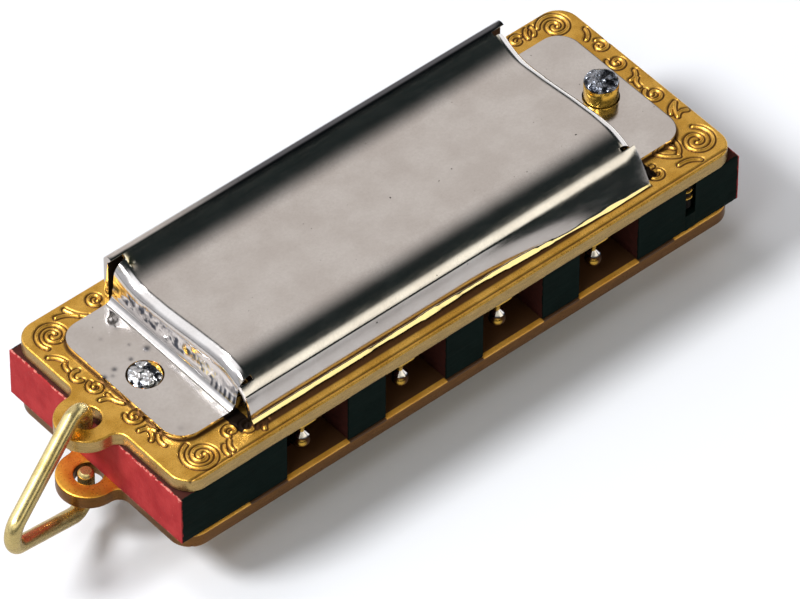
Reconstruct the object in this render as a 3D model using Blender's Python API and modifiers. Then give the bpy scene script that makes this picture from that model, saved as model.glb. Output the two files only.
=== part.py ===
"""A four-hole miniature harmonica on a wire bail, in metres, +Z up.

A wooden comb lies between two brass reed plates, and a pressed sheet cover lies on each plate.
Two pins run through covers, plates and comb. The upper plate carries four blow reeds on its
inner face, riveted at the front, and the lower one four draw reeds on its outer face, riveted
at the back. Each plate has a lug at the left end, and the bail's two ends turn into their holes.

The pieces are laid out round the comb's centre, and one empty carries them all to the
model's origin, which is the middle of the footprint at the lowest point.
X runs along the instrument with the bail at -X, and the player blows in at -Y.
"""

import math

import bmesh
import bpy
from mathutils import Matrix, Vector

# Comb
COMB_LENGTH = 0.0350
COMB_DEPTH = 0.0128
COMB_HEIGHT = 0.0030
CHAMBER_COUNT = 4
CHAMBER_PITCH = 0.0061
CHAMBER_WIDTH = 0.0038
CHAMBER_CORNER = 0.0005
COMB_BACK_WALL = 0.0012

# Gaps between pieces that touch on the real instrument
SEAT_GAP = 0.00003
PIN_FIT = 0.00004
RIVET_FIT = 0.00004

# Reed plates
PLATE_THICKNESS = 0.0008
PLATE_END_INSET = 0.0002
PLATE_OVERHANG = 0.0001
PLATE_CORNER = 0.0012
LUG_RADIUS = 0.0016
LUG_FILLET = 0.0006
LUG_REACH = 0.00065
LUG_HOLE_RADIUS = 0.00072

# Covers
COVER_SHEET = 0.0003
COVER_BACK_INSET = 0.0009
COVER_FRONT_INSET = 0.00108
RIDGE_HEIGHT = 0.00282
VALLEY_HEIGHT = 0.00204
CROWN_HEIGHT = 0.00247
LIP_GAP = 0.00006
VALLEY_FROM_BACK = 0.0027
RIDGE_BEND = 0.00035
RIDGE_TILT = math.radians(35.0)
ROLL_DEPTH = 0.00272
TAB_END_INSET = 0.0014
TAB_LENGTH = 0.0036
TAB_CORNER = 0.0012
TAB_FRONT_INSET = 0.0011
TAB_HOLE_RADIUS = 0.00093
END_BEND = 0.00035
END_LEAN = 0.00012
RELIEF_WIDTH = 0.0002
BACK_POST_WIDTH = 0.0016
BACK_RIM_DEPTH = 0.0007

# Pins
PIN_RADIUS = 0.00087
PIN_FROM_TAB_EDGE = 0.0016
PIN_ASIDE = 0.00012
PIN_HEAD_RISE = 0.00018
PROUD_PIN_RISE = 0.0012
PIN_EDGE_DROP = 0.00015
PIN_CROWN_RADIUS = 0.0007
PIN_CROWN_DROP = 0.00005

# Reeds and their rivets
REED_WIDTH = 0.0017
REED_TIP_WIDTH = 0.0015
REED_THICKNESS = 0.00012
REED_PAD_RADIUS = 0.00055
REED_SIDE_GAP = 0.0001
REED_TIP_GAP = 0.00015
REED_SEAT = 0.00005
REED_ASIDE = 0.00055
REED_TIP_FROM_FRONT = 0.0018
REED_SHORTENING = 0.0006
SLOT_FROM_RIVET = 0.0006
RIVET_HEAD_RADIUS = 0.00042
RIVET_DOME_RISE = 0.0003
RIVET_SHANK_RADIUS = 0.0003
RIVET_SHANK_DEPTH = 0.0005
BLOW_RIVET_FROM_EDGE = 0.00065
BLOW_RIVET_DROP = 0.0023
DRAW_RIVET_FROM_WALL = 0.0005
DRAW_RIVET_DROP = 0.0006

# Small nail that shows in a broken-out bore in the front of the right end block
NAIL_RADIUS = 0.00045
NAIL_DROP = 0.0019
NAIL_BEHIND_FACE = 0.0005
NAIL_BORE_GAP = 0.00014
NAIL_FROM_END = 0.0031

# Bail
WIRE_RADIUS = 0.000425
BAIL_REACH = 0.0064
BAIL_TIP_HEIGHT = 0.00125
BAIL_BEND_START = 0.0025
BAIL_BEND_RADIUS = 0.00085
BAIL_APEX_RADIUS = 0.0010
BAIL_PULL = 0.00015
BAIL_REST_SWING = math.radians(19.0)

# Facets
ARC_STEP = math.radians(15.0)
PIN_STEPS = 24
RIVET_STEPS = 16
HOLE_STEPS = 24
CORNER_STEPS = 4
DOME_STEPS = 4
TAB_ROWS = 10
ROLL_ROWS = 6
WIRE_ROUNDNESS = 3
OVERCUT = 0.001
WELD = 0.0000005
SHARP_ANGLE = math.radians(40.0)

# Places that follow from the sizes above, from the comb's centre
PLATE_HALF_LENGTH = COMB_LENGTH / 2 - PLATE_END_INSET
PLATE_HALF_DEPTH = COMB_DEPTH / 2 + PLATE_OVERHANG
PLATE_INNER = COMB_HEIGHT / 2 + SEAT_GAP
PLATE_OUTER = PLATE_INNER + PLATE_THICKNESS
LUG_X = -COMB_LENGTH / 2 - LUG_REACH + PLATE_END_INSET
BAIL_AXIS_X = LUG_X - BAIL_PULL
COVER_BACK = PLATE_HALF_DEPTH - COVER_BACK_INSET
COVER_FRONT = -(PLATE_HALF_DEPTH - COVER_FRONT_INSET)
CROWN_Y = COVER_FRONT + ROLL_DEPTH
VALLEY_Y = COVER_BACK - VALLEY_FROM_BACK
RIDGE_FOOT_Y = COVER_BACK - RIDGE_BEND * (1 + math.sin(RIDGE_TILT))
RIDGE_FOOT_HEIGHT = RIDGE_HEIGHT - RIDGE_BEND * (1 - math.cos(RIDGE_TILT))
TAB_BACK = RIDGE_FOOT_Y - RELIEF_WIDTH
TAB_FRONT = COVER_FRONT + TAB_FRONT_INSET
TAB_END = PLATE_HALF_LENGTH - TAB_END_INSET
TAB_HEIGHT = SEAT_GAP + COVER_SHEET
HOOD_END = TAB_END - TAB_LENGTH
PIN_X = TAB_END - PIN_FROM_TAB_EDGE
PIN_Y = PIN_ASIDE
CHAMBER_BACK = COMB_DEPTH / 2 - COMB_BACK_WALL
NAIL_X = COMB_LENGTH / 2 - NAIL_FROM_END
NAIL_Y = -COMB_DEPTH / 2 + NAIL_BEHIND_FACE
BLOW_RIVET_Y = -PLATE_HALF_DEPTH + BLOW_RIVET_FROM_EDGE
DRAW_RIVET_Y = CHAMBER_BACK - DRAW_RIVET_FROM_WALL
LONGEST_REED = DRAW_RIVET_Y + COMB_DEPTH / 2 - REED_TIP_FROM_FRONT
HALF_HEIGHT = PLATE_OUTER + RIDGE_HEIGHT
BAIL_OUTERMOST = -BAIL_AXIS_X + BAIL_REACH * math.cos(BAIL_REST_SWING) + WIRE_RADIUS
ORIGIN_SHIFT = ((BAIL_OUTERMOST - COMB_LENGTH / 2) / 2, 0.0, HALF_HEIGHT)

BRASS = (0.72, 0.47, 0.14, 1.0)
BRIGHT_BRASS = (0.83, 0.62, 0.25, 1.0)
NICKEL = (0.66, 0.63, 0.62, 1.0)
RED_PAINT = (0.50, 0.07, 0.08, 1.0)


def clear_scene():
    for old in list(bpy.data.objects):
        bpy.data.objects.remove(old, do_unlink=True)


def new_collection(name):
    collection = bpy.data.collections.new(name)
    bpy.context.scene.collection.children.link(collection)
    return collection


def new_empty(name, location, parent=None):
    empty = bpy.data.objects.new(name, None)
    empty.empty_display_size = 0.002
    empty.location = location
    empty.parent = parent
    PIECES.objects.link(empty)
    return empty


def new_material(name, colour, metallic, roughness):
    material = bpy.data.materials.new(name)
    material.use_nodes = True
    shader = material.node_tree.nodes["Principled BSDF"]
    shader.inputs["Base Color"].default_value = colour
    shader.inputs["Metallic"].default_value = metallic
    shader.inputs["Roughness"].default_value = roughness
    return material


def add_piece(name, data, look, location=(0.0, 0.0, 0.0), parent=None):
    """One named piece with a material of its own; look is (colour, metallic, roughness)."""
    piece = bpy.data.objects.new(name, data)
    piece.location = location
    piece.parent = parent or FRAME
    piece.data.materials.append(new_material(name + "_surface", *look))
    PIECES.objects.link(piece)
    return piece


def add_cutter(name, data):
    cutter = bpy.data.objects.new(name, data)
    cutter.parent = FRAME
    cutter.hide_render = True
    cutter.display_type = "WIRE"
    CUTTERS.objects.link(cutter)
    return cutter


def cut(piece, cutter):
    boolean = piece.modifiers.new("cut_" + cutter.name, "BOOLEAN")
    boolean.operation = "DIFFERENCE"
    boolean.solver = "EXACT"
    boolean.object = cutter


def finish_mesh(bm, name, closed=True):
    """An open sheet keeps the way its faces were made, because it has no inside."""
    if closed:
        bmesh.ops.recalc_face_normals(bm, faces=bm.faces)
    mesh = bpy.data.meshes.new(name)
    bm.to_mesh(mesh)
    bm.free()
    mesh.shade_smooth()
    mesh.set_sharp_from_angle(angle=SHARP_ANGLE)
    return mesh


def add_box(bm, low, high):
    """A box between two corners, added to bm."""
    size = Vector(high) - Vector(low)
    middle = (Vector(high) + Vector(low)) / 2
    made = bmesh.ops.create_cube(bm, size=1.0)
    bmesh.ops.scale(bm, vec=size, verts=made["verts"])
    bmesh.ops.translate(bm, vec=middle, verts=made["verts"])
    return made["verts"]


def add_cylinder(bm, radius, x, y, bottom, top, steps=HOLE_STEPS):
    """An upright cylinder, added to bm."""
    place = Matrix.Translation((x, y, (bottom + top) / 2))
    bmesh.ops.create_cone(
        bm,
        cap_ends=True,
        segments=steps,
        radius1=radius,
        radius2=radius,
        depth=top - bottom,
        matrix=place,
    )


def arc(centre, radius, start, end):
    """Points on an arc in a plane, both ends included; angles in radians."""
    steps = max(2, math.ceil(abs(end - start) / ARC_STEP))
    points = []
    for step in range(steps + 1):
        angle = start + (end - start) * step / steps
        points.append((centre[0] + radius * math.cos(angle), centre[1] + radius * math.sin(angle)))
    return points


def circle(centre, radius, steps):
    points = []
    for step in range(steps):
        angle = 2 * math.pi * step / steps
        points.append((centre[0] + radius * math.cos(angle), centre[1] + radius * math.sin(angle)))
    return points


def flat_mesh(name, loops, thickness):
    """A flat piece: the first loop is its outline and the others are holes right through it."""
    curve = bpy.data.curves.new(name, "CURVE")
    curve.dimensions = "2D"
    curve.fill_mode = "BOTH"
    curve.extrude = thickness / 2
    for loop in loops:
        spline = curve.splines.new("POLY")
        spline.points.add(len(loop) - 1)
        for point, (x, y) in zip(spline.points, loop):
            point.co = (x, y, 0.0, 1.0)
        spline.use_cyclic_u = True
    outline = bpy.data.objects.new(name, curve)
    bpy.context.scene.collection.objects.link(outline)
    depsgraph = bpy.context.evaluated_depsgraph_get()
    raw = bpy.data.meshes.new_from_object(outline.evaluated_get(depsgraph))
    bm = bmesh.new()
    bm.from_mesh(raw)
    bmesh.ops.remove_doubles(bm, verts=bm.verts, dist=WELD)
    bpy.data.meshes.remove(raw)
    bpy.data.objects.remove(outline, do_unlink=True)
    bpy.data.curves.remove(curve)
    return finish_mesh(bm, name)


def add_turned(name, profile, look, location, steps):
    """A turned piece: (radius, height) points down its outer side, from the axis to the axis."""
    bm = bmesh.new()
    verts = [bm.verts.new((radius, 0.0, height)) for radius, height in profile]
    for upper, lower in zip(verts, verts[1:]):
        bm.edges.new((upper, lower))
    mesh = bpy.data.meshes.new(name)
    bm.to_mesh(mesh)
    bm.free()
    piece = add_piece(name, mesh, look, location)
    screw = piece.modifiers.new("turn", "SCREW")
    screw.angle = math.radians(360)
    screw.steps = steps
    screw.render_steps = steps
    screw.use_merge_vertices = True
    screw.merge_threshold = WELD
    screw.use_smooth_shade = True
    return piece


def chamber_x(index):
    return (index - (CHAMBER_COUNT - 1) / 2) * CHAMBER_PITCH


def reed_x(index):
    """The reeds and their rivets sit a little to the bail's side of each chamber's middle."""
    return chamber_x(index) - REED_ASIDE


def reed_length(index):
    """From the rivet to the tip; the lowest note, at the bail's end, has the longest reed."""
    return LONGEST_REED - REED_SHORTENING * index


# Comb: one wooden block with a chamber for each hole, open in front, above and below
def make_comb():
    bm = bmesh.new()
    corner = Vector((COMB_LENGTH / 2, COMB_DEPTH / 2, COMB_HEIGHT / 2))
    add_box(bm, -corner, corner)
    comb = add_piece("comb", finish_mesh(bm, "comb"), (RED_PAINT, 0.0, 0.5))
    cut(comb, add_cutter("comb_chambers", chamber_cutter_mesh()))
    cut(comb, add_cutter("comb_bores", comb_bore_mesh()))


def chamber_cutter_mesh():
    bm = bmesh.new()
    past = COMB_HEIGHT / 2 + OVERCUT
    for index in range(CHAMBER_COUNT):
        left = chamber_x(index) - CHAMBER_WIDTH / 2
        right = chamber_x(index) + CHAMBER_WIDTH / 2
        verts = add_box(bm, (left, -COMB_DEPTH / 2 - OVERCUT, -past), (right, CHAMBER_BACK, past))
        back_edges = set()
        for edge in {edge for vert in verts for edge in vert.link_edges}:
            upright = abs(edge.verts[0].co.z - edge.verts[1].co.z) > COMB_HEIGHT
            if upright and edge.verts[0].co.y > 0:
                back_edges.add(edge)
        bmesh.ops.bevel(
            bm,
            geom=list(back_edges),
            offset=CHAMBER_CORNER,
            segments=CORNER_STEPS,
            profile=0.5,
            affect="EDGES",
        )
    return finish_mesh(bm, "comb_chambers")


def comb_bore_mesh():
    """The two pin holes and the nail's bore, which breaks out through the front face."""
    bm = bmesh.new()
    past = COMB_HEIGHT / 2 + OVERCUT
    for end in (-1, 1):
        add_cylinder(bm, PIN_RADIUS + PIN_FIT, end * PIN_X, PIN_Y, -past, past)
    nail_floor = COMB_HEIGHT / 2 - NAIL_DROP - NAIL_BORE_GAP
    add_cylinder(bm, NAIL_RADIUS + NAIL_BORE_GAP, NAIL_X, NAIL_Y, nail_floor, past)
    return finish_mesh(bm, "comb_bores")


# Reed plates: rounded brass plates with a lug at the bail's end
def plate_outline():
    """Anticlockwise outline, with the lug blended into the left edge by concave fillets."""
    half_x = PLATE_HALF_LENGTH
    half_y = PLATE_HALF_DEPTH
    inner_x = half_x - PLATE_CORNER
    inner_y = half_y - PLATE_CORNER
    right = 0.0
    up = math.pi / 2
    left = math.pi
    down = 3 * math.pi / 2
    points = arc((inner_x, -inner_y), PLATE_CORNER, down, 2 * math.pi)
    points += arc((inner_x, inner_y), PLATE_CORNER, right, up)
    points += arc((-inner_x, inner_y), PLATE_CORNER, up, left)
    points += lug_outline()
    points += arc((-inner_x, -inner_y), PLATE_CORNER, left, down)
    return points


def lug_outline():
    """From the plate's left edge round the lug and back to the edge."""
    edge_x = -PLATE_HALF_LENGTH
    fillet_x = edge_x - LUG_FILLET
    across = fillet_x - LUG_X
    fillet_y = math.sqrt((LUG_RADIUS + LUG_FILLET) ** 2 - across**2)
    meet = math.atan2(fillet_y, across)
    points = arc((fillet_x, fillet_y), LUG_FILLET, 0.0, meet - math.pi)
    points += arc((LUG_X, 0.0), LUG_RADIUS, meet, 2 * math.pi - meet)[1:-1]
    points += arc((fillet_x, -fillet_y), LUG_FILLET, math.pi - meet, 0.0)
    return points


def plate_cutter_mesh(name, underside, rivet_y, tongue_way):
    """Slots, pin holes and lug hole right through, and blind rivet holes from the underside."""
    bm = bmesh.new()
    bottom = underside - OVERCUT
    top = underside + PLATE_THICKNESS + OVERCUT
    for index in range(CHAMBER_COUNT):
        x = reed_x(index)
        half_width = REED_WIDTH / 2 + REED_SIDE_GAP
        root = rivet_y + tongue_way * SLOT_FROM_RIVET
        tip = rivet_y + tongue_way * (reed_length(index) + REED_TIP_GAP)
        low = (x - half_width, min(root, tip), bottom)
        high = (x + half_width, max(root, tip), top)
        add_box(bm, low, high)
        hole_top = underside + RIVET_SHANK_DEPTH + RIVET_FIT
        add_cylinder(bm, RIVET_SHANK_RADIUS + RIVET_FIT, x, rivet_y, bottom, hole_top, RIVET_STEPS)
    for end in (-1, 1):
        add_cylinder(bm, PIN_RADIUS + PIN_FIT, end * PIN_X, PIN_Y, bottom, top)
    add_cylinder(bm, LUG_HOLE_RADIUS, LUG_X, 0.0, bottom, top)
    return finish_mesh(bm, name)


def make_reed_plate(name, underside, rivet_y, tongue_way):
    mesh = flat_mesh(name, [plate_outline()], PLATE_THICKNESS)
    mesh.transform(Matrix.Translation((0.0, 0.0, underside + PLATE_THICKNESS / 2)))
    plate = add_piece(name, mesh, (BRASS, 1.0, 0.3))
    cut(plate, add_cutter(name + "_holes", plate_cutter_mesh(name, underside, rivet_y, tongue_way)))
    return plate


def make_upper_plate():
    plate = make_reed_plate("upper_reed_plate", PLATE_INNER, BLOW_RIVET_Y, 1)
    bm = bmesh.new()
    hole_top = PLATE_INNER + RIVET_SHANK_DEPTH + RIVET_FIT
    add_cylinder(bm, NAIL_RADIUS + RIVET_FIT, NAIL_X, NAIL_Y, PLATE_INNER - OVERCUT, hole_top)
    cut(plate, add_cutter("upper_plate_nail_hole", finish_mesh(bm, "upper_plate_nail_hole")))


def make_lower_plate():
    make_reed_plate("lower_reed_plate", -PLATE_OUTER, DRAW_RIVET_Y, -1)


# Reeds: thin tongues, each held by one rivet through its round pad
def reed_outline(length):
    """Round pad behind the rivet at the origin, and the tongue along +Y with a slight taper."""
    tip = REED_TIP_WIDTH / 2
    corner = REED_WIDTH / 2 - REED_PAD_RADIUS
    pad = arc((-corner, 0.0), REED_PAD_RADIUS, math.pi, 3 * math.pi / 2)
    pad += arc((corner, 0.0), REED_PAD_RADIUS, 3 * math.pi / 2, 2 * math.pi)
    return [(tip, length), (-tip, length)] + pad


def make_reed(name, index, rivet_y, underside, turned):
    """The reed's origin is on its hinge axis, at the rivet; turned lays the tongue along -Y."""
    outline = reed_outline(reed_length(index))
    hole = circle((0.0, 0.0), RIVET_SHANK_RADIUS + RIVET_FIT, RIVET_STEPS)
    mesh = flat_mesh(name, [outline, hole], REED_THICKNESS)
    height = underside - REED_SEAT - REED_THICKNESS / 2
    reed = add_piece(name, mesh, (BRIGHT_BRASS, 1.0, 0.3), (reed_x(index), rivet_y, height))
    reed.rotation_euler = (0.0, 0.0, turned)


def make_rivet(name, index, rivet_y, underside, drop):
    """Shank up in the plate, and a domed tail hanging below the reed's pad."""
    under_pad = -REED_SEAT - REED_THICKNESS - REED_SEAT
    profile = [
        (0.0, RIVET_SHANK_DEPTH),
        (RIVET_SHANK_RADIUS, RIVET_SHANK_DEPTH),
        (RIVET_SHANK_RADIUS, under_pad),
        (RIVET_HEAD_RADIUS, under_pad),
    ]
    profile += dome_profile(RIVET_HEAD_RADIUS, RIVET_DOME_RISE, -drop)
    place = (reed_x(index), rivet_y, underside)
    add_turned(name, profile, (BRIGHT_BRASS, 1.0, 0.25), place, RIVET_STEPS)


def dome_profile(radius, rise, bottom):
    """The lower, domed end of a turned piece, from its side to the axis."""
    points = []
    for step in range(DOME_STEPS):
        angle = math.pi / 2 * step / DOME_STEPS
        points.append((radius * math.cos(angle), bottom + rise - rise * math.sin(angle)))
    return points + [(0.0, bottom)]


def make_reeds():
    for index in range(CHAMBER_COUNT):
        number = str(index + 1)
        make_reed("blow_reed_" + number, index, BLOW_RIVET_Y, PLATE_INNER, 0.0)
        make_rivet("blow_rivet_" + number, index, BLOW_RIVET_Y, PLATE_INNER, BLOW_RIVET_DROP)
        make_reed("draw_reed_" + number, index, DRAW_RIVET_Y, -PLATE_OUTER, math.pi)
        make_rivet("draw_rivet_" + number, index, DRAW_RIVET_Y, -PLATE_OUTER, DRAW_RIVET_DROP)


def make_nail():
    """A plain brass nail set in the upper plate, its point hanging in the broken-out bore."""
    profile = [(0.0, RIVET_SHANK_DEPTH), (NAIL_RADIUS, RIVET_SHANK_DEPTH)]
    profile += dome_profile(NAIL_RADIUS, NAIL_RADIUS, -NAIL_DROP)
    place = (NAIL_X, NAIL_Y, PLATE_INNER)
    add_turned("plate_nail", profile, (BRIGHT_BRASS, 1.0, 0.3), place, RIVET_STEPS)


# Pins through covers, plates and comb, peened at their ends
def make_pin(name, end, upper_rise):
    tab_top = PLATE_OUTER + TAB_HEIGHT
    top = tab_top + upper_rise
    bottom = -tab_top - PIN_HEAD_RISE
    profile = [
        (0.0, top),
        (PIN_CROWN_RADIUS, top - PIN_CROWN_DROP),
        (PIN_RADIUS, top - PIN_EDGE_DROP),
        (PIN_RADIUS, bottom + PIN_EDGE_DROP),
        (PIN_CROWN_RADIUS, bottom + PIN_CROWN_DROP),
        (0.0, bottom),
    ]
    add_turned(name, profile, (BRIGHT_BRASS, 1.0, 0.35), (end * PIN_X, PIN_Y, 0.0), PIN_STEPS)


# Covers: one pressed sheet each, a hood with an end wall and a tab drawn down at both ends
def hood_height(y):
    """Height of the hood's outer face above the plate, from the ridge's foot to the front lip."""
    if y > VALLEY_Y:
        run = RIDGE_FOOT_Y - VALLEY_Y
        t = (RIDGE_FOOT_Y - y) / run
        fall = 2 * t**3 - 3 * t**2 + 1
        lean = t**3 - 2 * t**2 + t
        drop = RIDGE_FOOT_HEIGHT - VALLEY_HEIGHT
        return VALLEY_HEIGHT + drop * fall - math.tan(RIDGE_TILT) * run * lean
    if y > CROWN_Y:
        t = (VALLEY_Y - y) / (VALLEY_Y - CROWN_Y)
        return VALLEY_HEIGHT + (CROWN_HEIGHT - VALLEY_HEIGHT) * t * t * (3 - 2 * t)
    share = min(1.0, (CROWN_Y - y) / ROLL_DEPTH)
    return LIP_GAP + (CROWN_HEIGHT - LIP_GAP) * math.sqrt(1 - share**2)


def roll_y(angle):
    """Y on the front roll's quarter ellipse, at 0 on the crown and at a right angle on the lip."""
    return CROWN_Y - ROLL_DEPTH * math.sin(angle)


def spread(start, end, count):
    """Evenly spaced values after start, up to and including end."""
    return [start + (end - start) * (step + 1) / count for step in range(count)]


def tab_rows():
    """(y, tab end x) of the rows that run out into a tab, from its back edge to its front edge."""
    centre_x = TAB_END - TAB_CORNER
    back = arc((centre_x, TAB_BACK - TAB_CORNER), TAB_CORNER, math.pi / 2, 0.0)
    front = arc((centre_x, TAB_FRONT + TAB_CORNER), TAB_CORNER, 0.0, -math.pi / 2)
    rows = [(y, x) for x, y in back]
    between = spread(back[-1][1], front[0][1], TAB_ROWS)[:-1]
    rows += [(y, TAB_END) for y in between]
    rows += [(y, x) for x, y in front]
    return rows


def cover_rows():
    """Rows of the sheet from the back wall's foot to the front lip: (y, height, tab end or None)."""
    rows = [(COVER_BACK, LIP_GAP, None), (COVER_BACK, RIDGE_HEIGHT - BACK_RIM_DEPTH, None)]
    crest = (COVER_BACK - RIDGE_BEND, RIDGE_HEIGHT - RIDGE_BEND)
    rows += [(y, z, None) for y, z in arc(crest, RIDGE_BEND, 0.0, math.pi / 2 + RIDGE_TILT)]
    relief_front = TAB_FRONT - RELIEF_WIDTH
    rows += [(y, hood_height(y), end) for y, end in tab_rows()]
    first = math.asin((CROWN_Y - relief_front) / ROLL_DEPTH)
    rows.append((relief_front, hood_height(relief_front), None))
    for angle in spread(first, math.pi / 2, ROLL_ROWS):
        rows.append((roll_y(angle), LIP_GAP + (CROWN_HEIGHT - LIP_GAP) * math.cos(angle), None))
    return rows


def end_path(height, tab_end):
    """(x, height) points of one row past the hood: over the top bend, down the wall, out the tab."""
    top = arc((HOOD_END - END_BEND, height - END_BEND), END_BEND, math.pi / 2, 0.0)
    foot_x = HOOD_END + END_LEAN + END_BEND
    foot = arc((foot_x, TAB_HEIGHT + END_BEND), END_BEND, math.pi, 3 * math.pi / 2)
    return top[1:] + foot + [(tab_end, TAB_HEIGHT)]


def add_strip(bm, near, far, flipped):
    """Quads between two rows of corners."""
    for step in range(len(near) - 1):
        corners = [near[step], near[step + 1], far[step + 1], far[step]]
        if flipped:
            corners.reverse()
        bm.faces.new(corners)


def cover_mesh(name, side):
    """The sheet's outer face; side is 1 for the upper cover and -1 for the lower one."""
    rows = cover_rows()
    bend = HOOD_END - END_BEND
    post = HOOD_END - BACK_POST_WIDTH
    bm = bmesh.new()

    def corners(points, y):
        return [bm.verts.new((x, y, side * (PLATE_OUTER + height))) for x, height in points]

    hood = []
    ends = {-1: [], 1: []}
    for y, height, tab_end in rows:
        hood.append(corners([(x, height) for x in (-bend, -post, post, bend)], y))
        path = [(HOOD_END, height)] if tab_end is None else end_path(height, tab_end)
        ends[-1].append([hood[-1][0]] + corners([(-x, z) for x, z in path], y))
        ends[1].append([hood[-1][-1]] + corners(path, y))

    for row in range(len(rows) - 1):
        upper = side > 0
        if row == 0:
            # The sound slot: only the two posts reach down to the plate
            add_strip(bm, hood[0][:2], hood[1][:2], upper)
            add_strip(bm, hood[0][2:], hood[1][2:], upper)
        else:
            add_strip(bm, hood[row], hood[row + 1], upper)
        relief = (rows[row][2] is None) != (rows[row + 1][2] is None)
        if not relief:
            for end in (-1, 1):
                add_strip(bm, ends[end][row], ends[end][row + 1], side * end > 0)
    return finish_mesh(bm, name, closed=False)


def make_cover(name, side):
    cover = add_piece(name, cover_mesh(name, side), (NICKEL, 1.0, 0.22))
    solidify = cover.modifiers.new("sheet", "SOLIDIFY")
    solidify.thickness = COVER_SHEET
    solidify.offset = -1.0
    solidify.use_even_offset = True
    bm = bmesh.new()
    reach = PLATE_OUTER + RIDGE_HEIGHT + OVERCUT
    for end in (-1, 1):
        bottom, top = sorted((side * PLATE_INNER, side * reach))
        add_cylinder(bm, TAB_HOLE_RADIUS, end * PIN_X, PIN_Y, bottom, top)
    cut(cover, add_cutter(name + "_pin_holes", finish_mesh(bm, name + "_pin_holes")))


# Bail: one wire bent to a V, its ends turned down and up into the lug holes
def bail_path():
    """(reach, height) points from the upper tip to the lower tip, reach counted from the axis."""
    apex = BAIL_REACH - BAIL_APEX_RADIUS
    run = apex - BAIL_BEND_RADIUS
    distance = math.hypot(run, BAIL_BEND_START)
    fall = math.atan2(-BAIL_BEND_START, run)
    lean = fall + math.acos((BAIL_BEND_RADIUS - BAIL_APEX_RADIUS) / distance)
    upper = [(0.0, BAIL_TIP_HEIGHT)]
    upper += arc((BAIL_BEND_RADIUS, BAIL_BEND_START), BAIL_BEND_RADIUS, math.pi, lean)
    bow = arc((apex, 0.0), BAIL_APEX_RADIUS, lean, -lean)
    lower = [(reach, -height) for reach, height in reversed(upper)]
    return upper + bow + lower


def make_bail():
    pivot = new_empty("bail_pivot", (BAIL_AXIS_X, 0.0, 0.0), FRAME)
    pivot.rotation_euler = (0.0, 0.0, BAIL_REST_SWING)
    curve = bpy.data.curves.new("bail", "CURVE")
    curve.dimensions = "3D"
    curve.bevel_depth = WIRE_RADIUS
    curve.bevel_resolution = WIRE_ROUNDNESS
    curve.use_fill_caps = True
    path = bail_path()
    spline = curve.splines.new("POLY")
    spline.points.add(len(path) - 1)
    for point, (reach, height) in zip(spline.points, path):
        point.co = (-reach, 0.0, height, 1.0)
    spline.use_smooth = True
    add_piece("bail", curve, (BRIGHT_BRASS, 1.0, 0.25), parent=pivot)


clear_scene()
PIECES = new_collection("mini_harmonica")
CUTTERS = new_collection("mini_harmonica_cutters")
FRAME = new_empty("harmonica_origin", ORIGIN_SHIFT)
make_comb()
make_upper_plate()
make_lower_plate()
make_reeds()
make_nail()
make_cover("upper_cover", 1)
make_cover("lower_cover", -1)
make_pin("left_pin", -1, PIN_HEAD_RISE)
make_pin("right_pin", 1, PROUD_PIN_RISE)
make_bail()
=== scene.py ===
"""Looks of the four-hole miniature harmonica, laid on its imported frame. Metres, +Z up.

The making functions work in millimetres from the comb's centre, and new_piece() turns
these into metres in the frame.
"""

import math

import bmesh
import bpy
import numpy as np
from mathutils import Matrix, Vector, geometry, noise


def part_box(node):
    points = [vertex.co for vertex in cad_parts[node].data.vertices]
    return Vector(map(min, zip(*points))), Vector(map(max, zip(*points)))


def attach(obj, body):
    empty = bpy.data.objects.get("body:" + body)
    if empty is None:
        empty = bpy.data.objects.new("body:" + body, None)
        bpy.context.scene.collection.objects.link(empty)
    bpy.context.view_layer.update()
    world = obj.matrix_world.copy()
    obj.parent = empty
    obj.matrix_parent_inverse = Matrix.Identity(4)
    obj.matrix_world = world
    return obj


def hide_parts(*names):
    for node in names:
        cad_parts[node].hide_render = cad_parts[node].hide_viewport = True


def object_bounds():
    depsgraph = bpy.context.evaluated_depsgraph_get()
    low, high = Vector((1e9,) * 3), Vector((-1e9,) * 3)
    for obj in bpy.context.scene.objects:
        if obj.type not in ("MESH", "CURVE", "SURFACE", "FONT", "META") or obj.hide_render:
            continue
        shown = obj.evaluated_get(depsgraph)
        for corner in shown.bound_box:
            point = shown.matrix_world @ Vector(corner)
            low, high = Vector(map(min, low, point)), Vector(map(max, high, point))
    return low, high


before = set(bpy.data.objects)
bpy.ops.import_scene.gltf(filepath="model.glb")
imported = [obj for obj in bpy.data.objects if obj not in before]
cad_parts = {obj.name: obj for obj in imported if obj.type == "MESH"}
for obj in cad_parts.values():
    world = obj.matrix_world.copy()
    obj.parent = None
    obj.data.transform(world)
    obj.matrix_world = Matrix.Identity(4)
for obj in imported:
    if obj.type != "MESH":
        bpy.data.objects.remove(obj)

FRAME_BOX = [list(corner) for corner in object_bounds()]
MM = 0.001
COMB_LOW, COMB_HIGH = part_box("comb")
CENTRE = (COMB_LOW + COMB_HIGH) / 2


def local_box(node):
    """Corners of a CAD node from the comb's centre, in millimetres."""
    low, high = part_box(node)
    return (low - CENTRE) / MM, (high - CENTRE) / MM


def middle(node):
    low, high = local_box(node)
    return (low + high) / 2


# Sizes that the pieces share, read off the frame's nodes
COMB_HALF = (COMB_HIGH - COMB_LOW) / 2 / MM
PLATE_LOW, PLATE_HIGH = local_box("upper_reed_plate")
PLATE_INNER = PLATE_LOW.z
PLATE_OUTER = PLATE_HIGH.z
PLATE_HALF_X = PLATE_HIGH.x
PLATE_HALF_Y = PLATE_HIGH.y
COVER_LOW, COVER_HIGH = local_box("upper_cover")
COVER_BACK = COVER_HIGH.y
COVER_FRONT = COVER_LOW.y
TAB_END = COVER_HIGH.x
RIDGE_HEIGHT = COVER_HIGH.z - PLATE_OUTER
PIN_X = middle("right_pin").x
PIN_Y = middle("right_pin").y
NAIL = middle("plate_nail")

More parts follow.
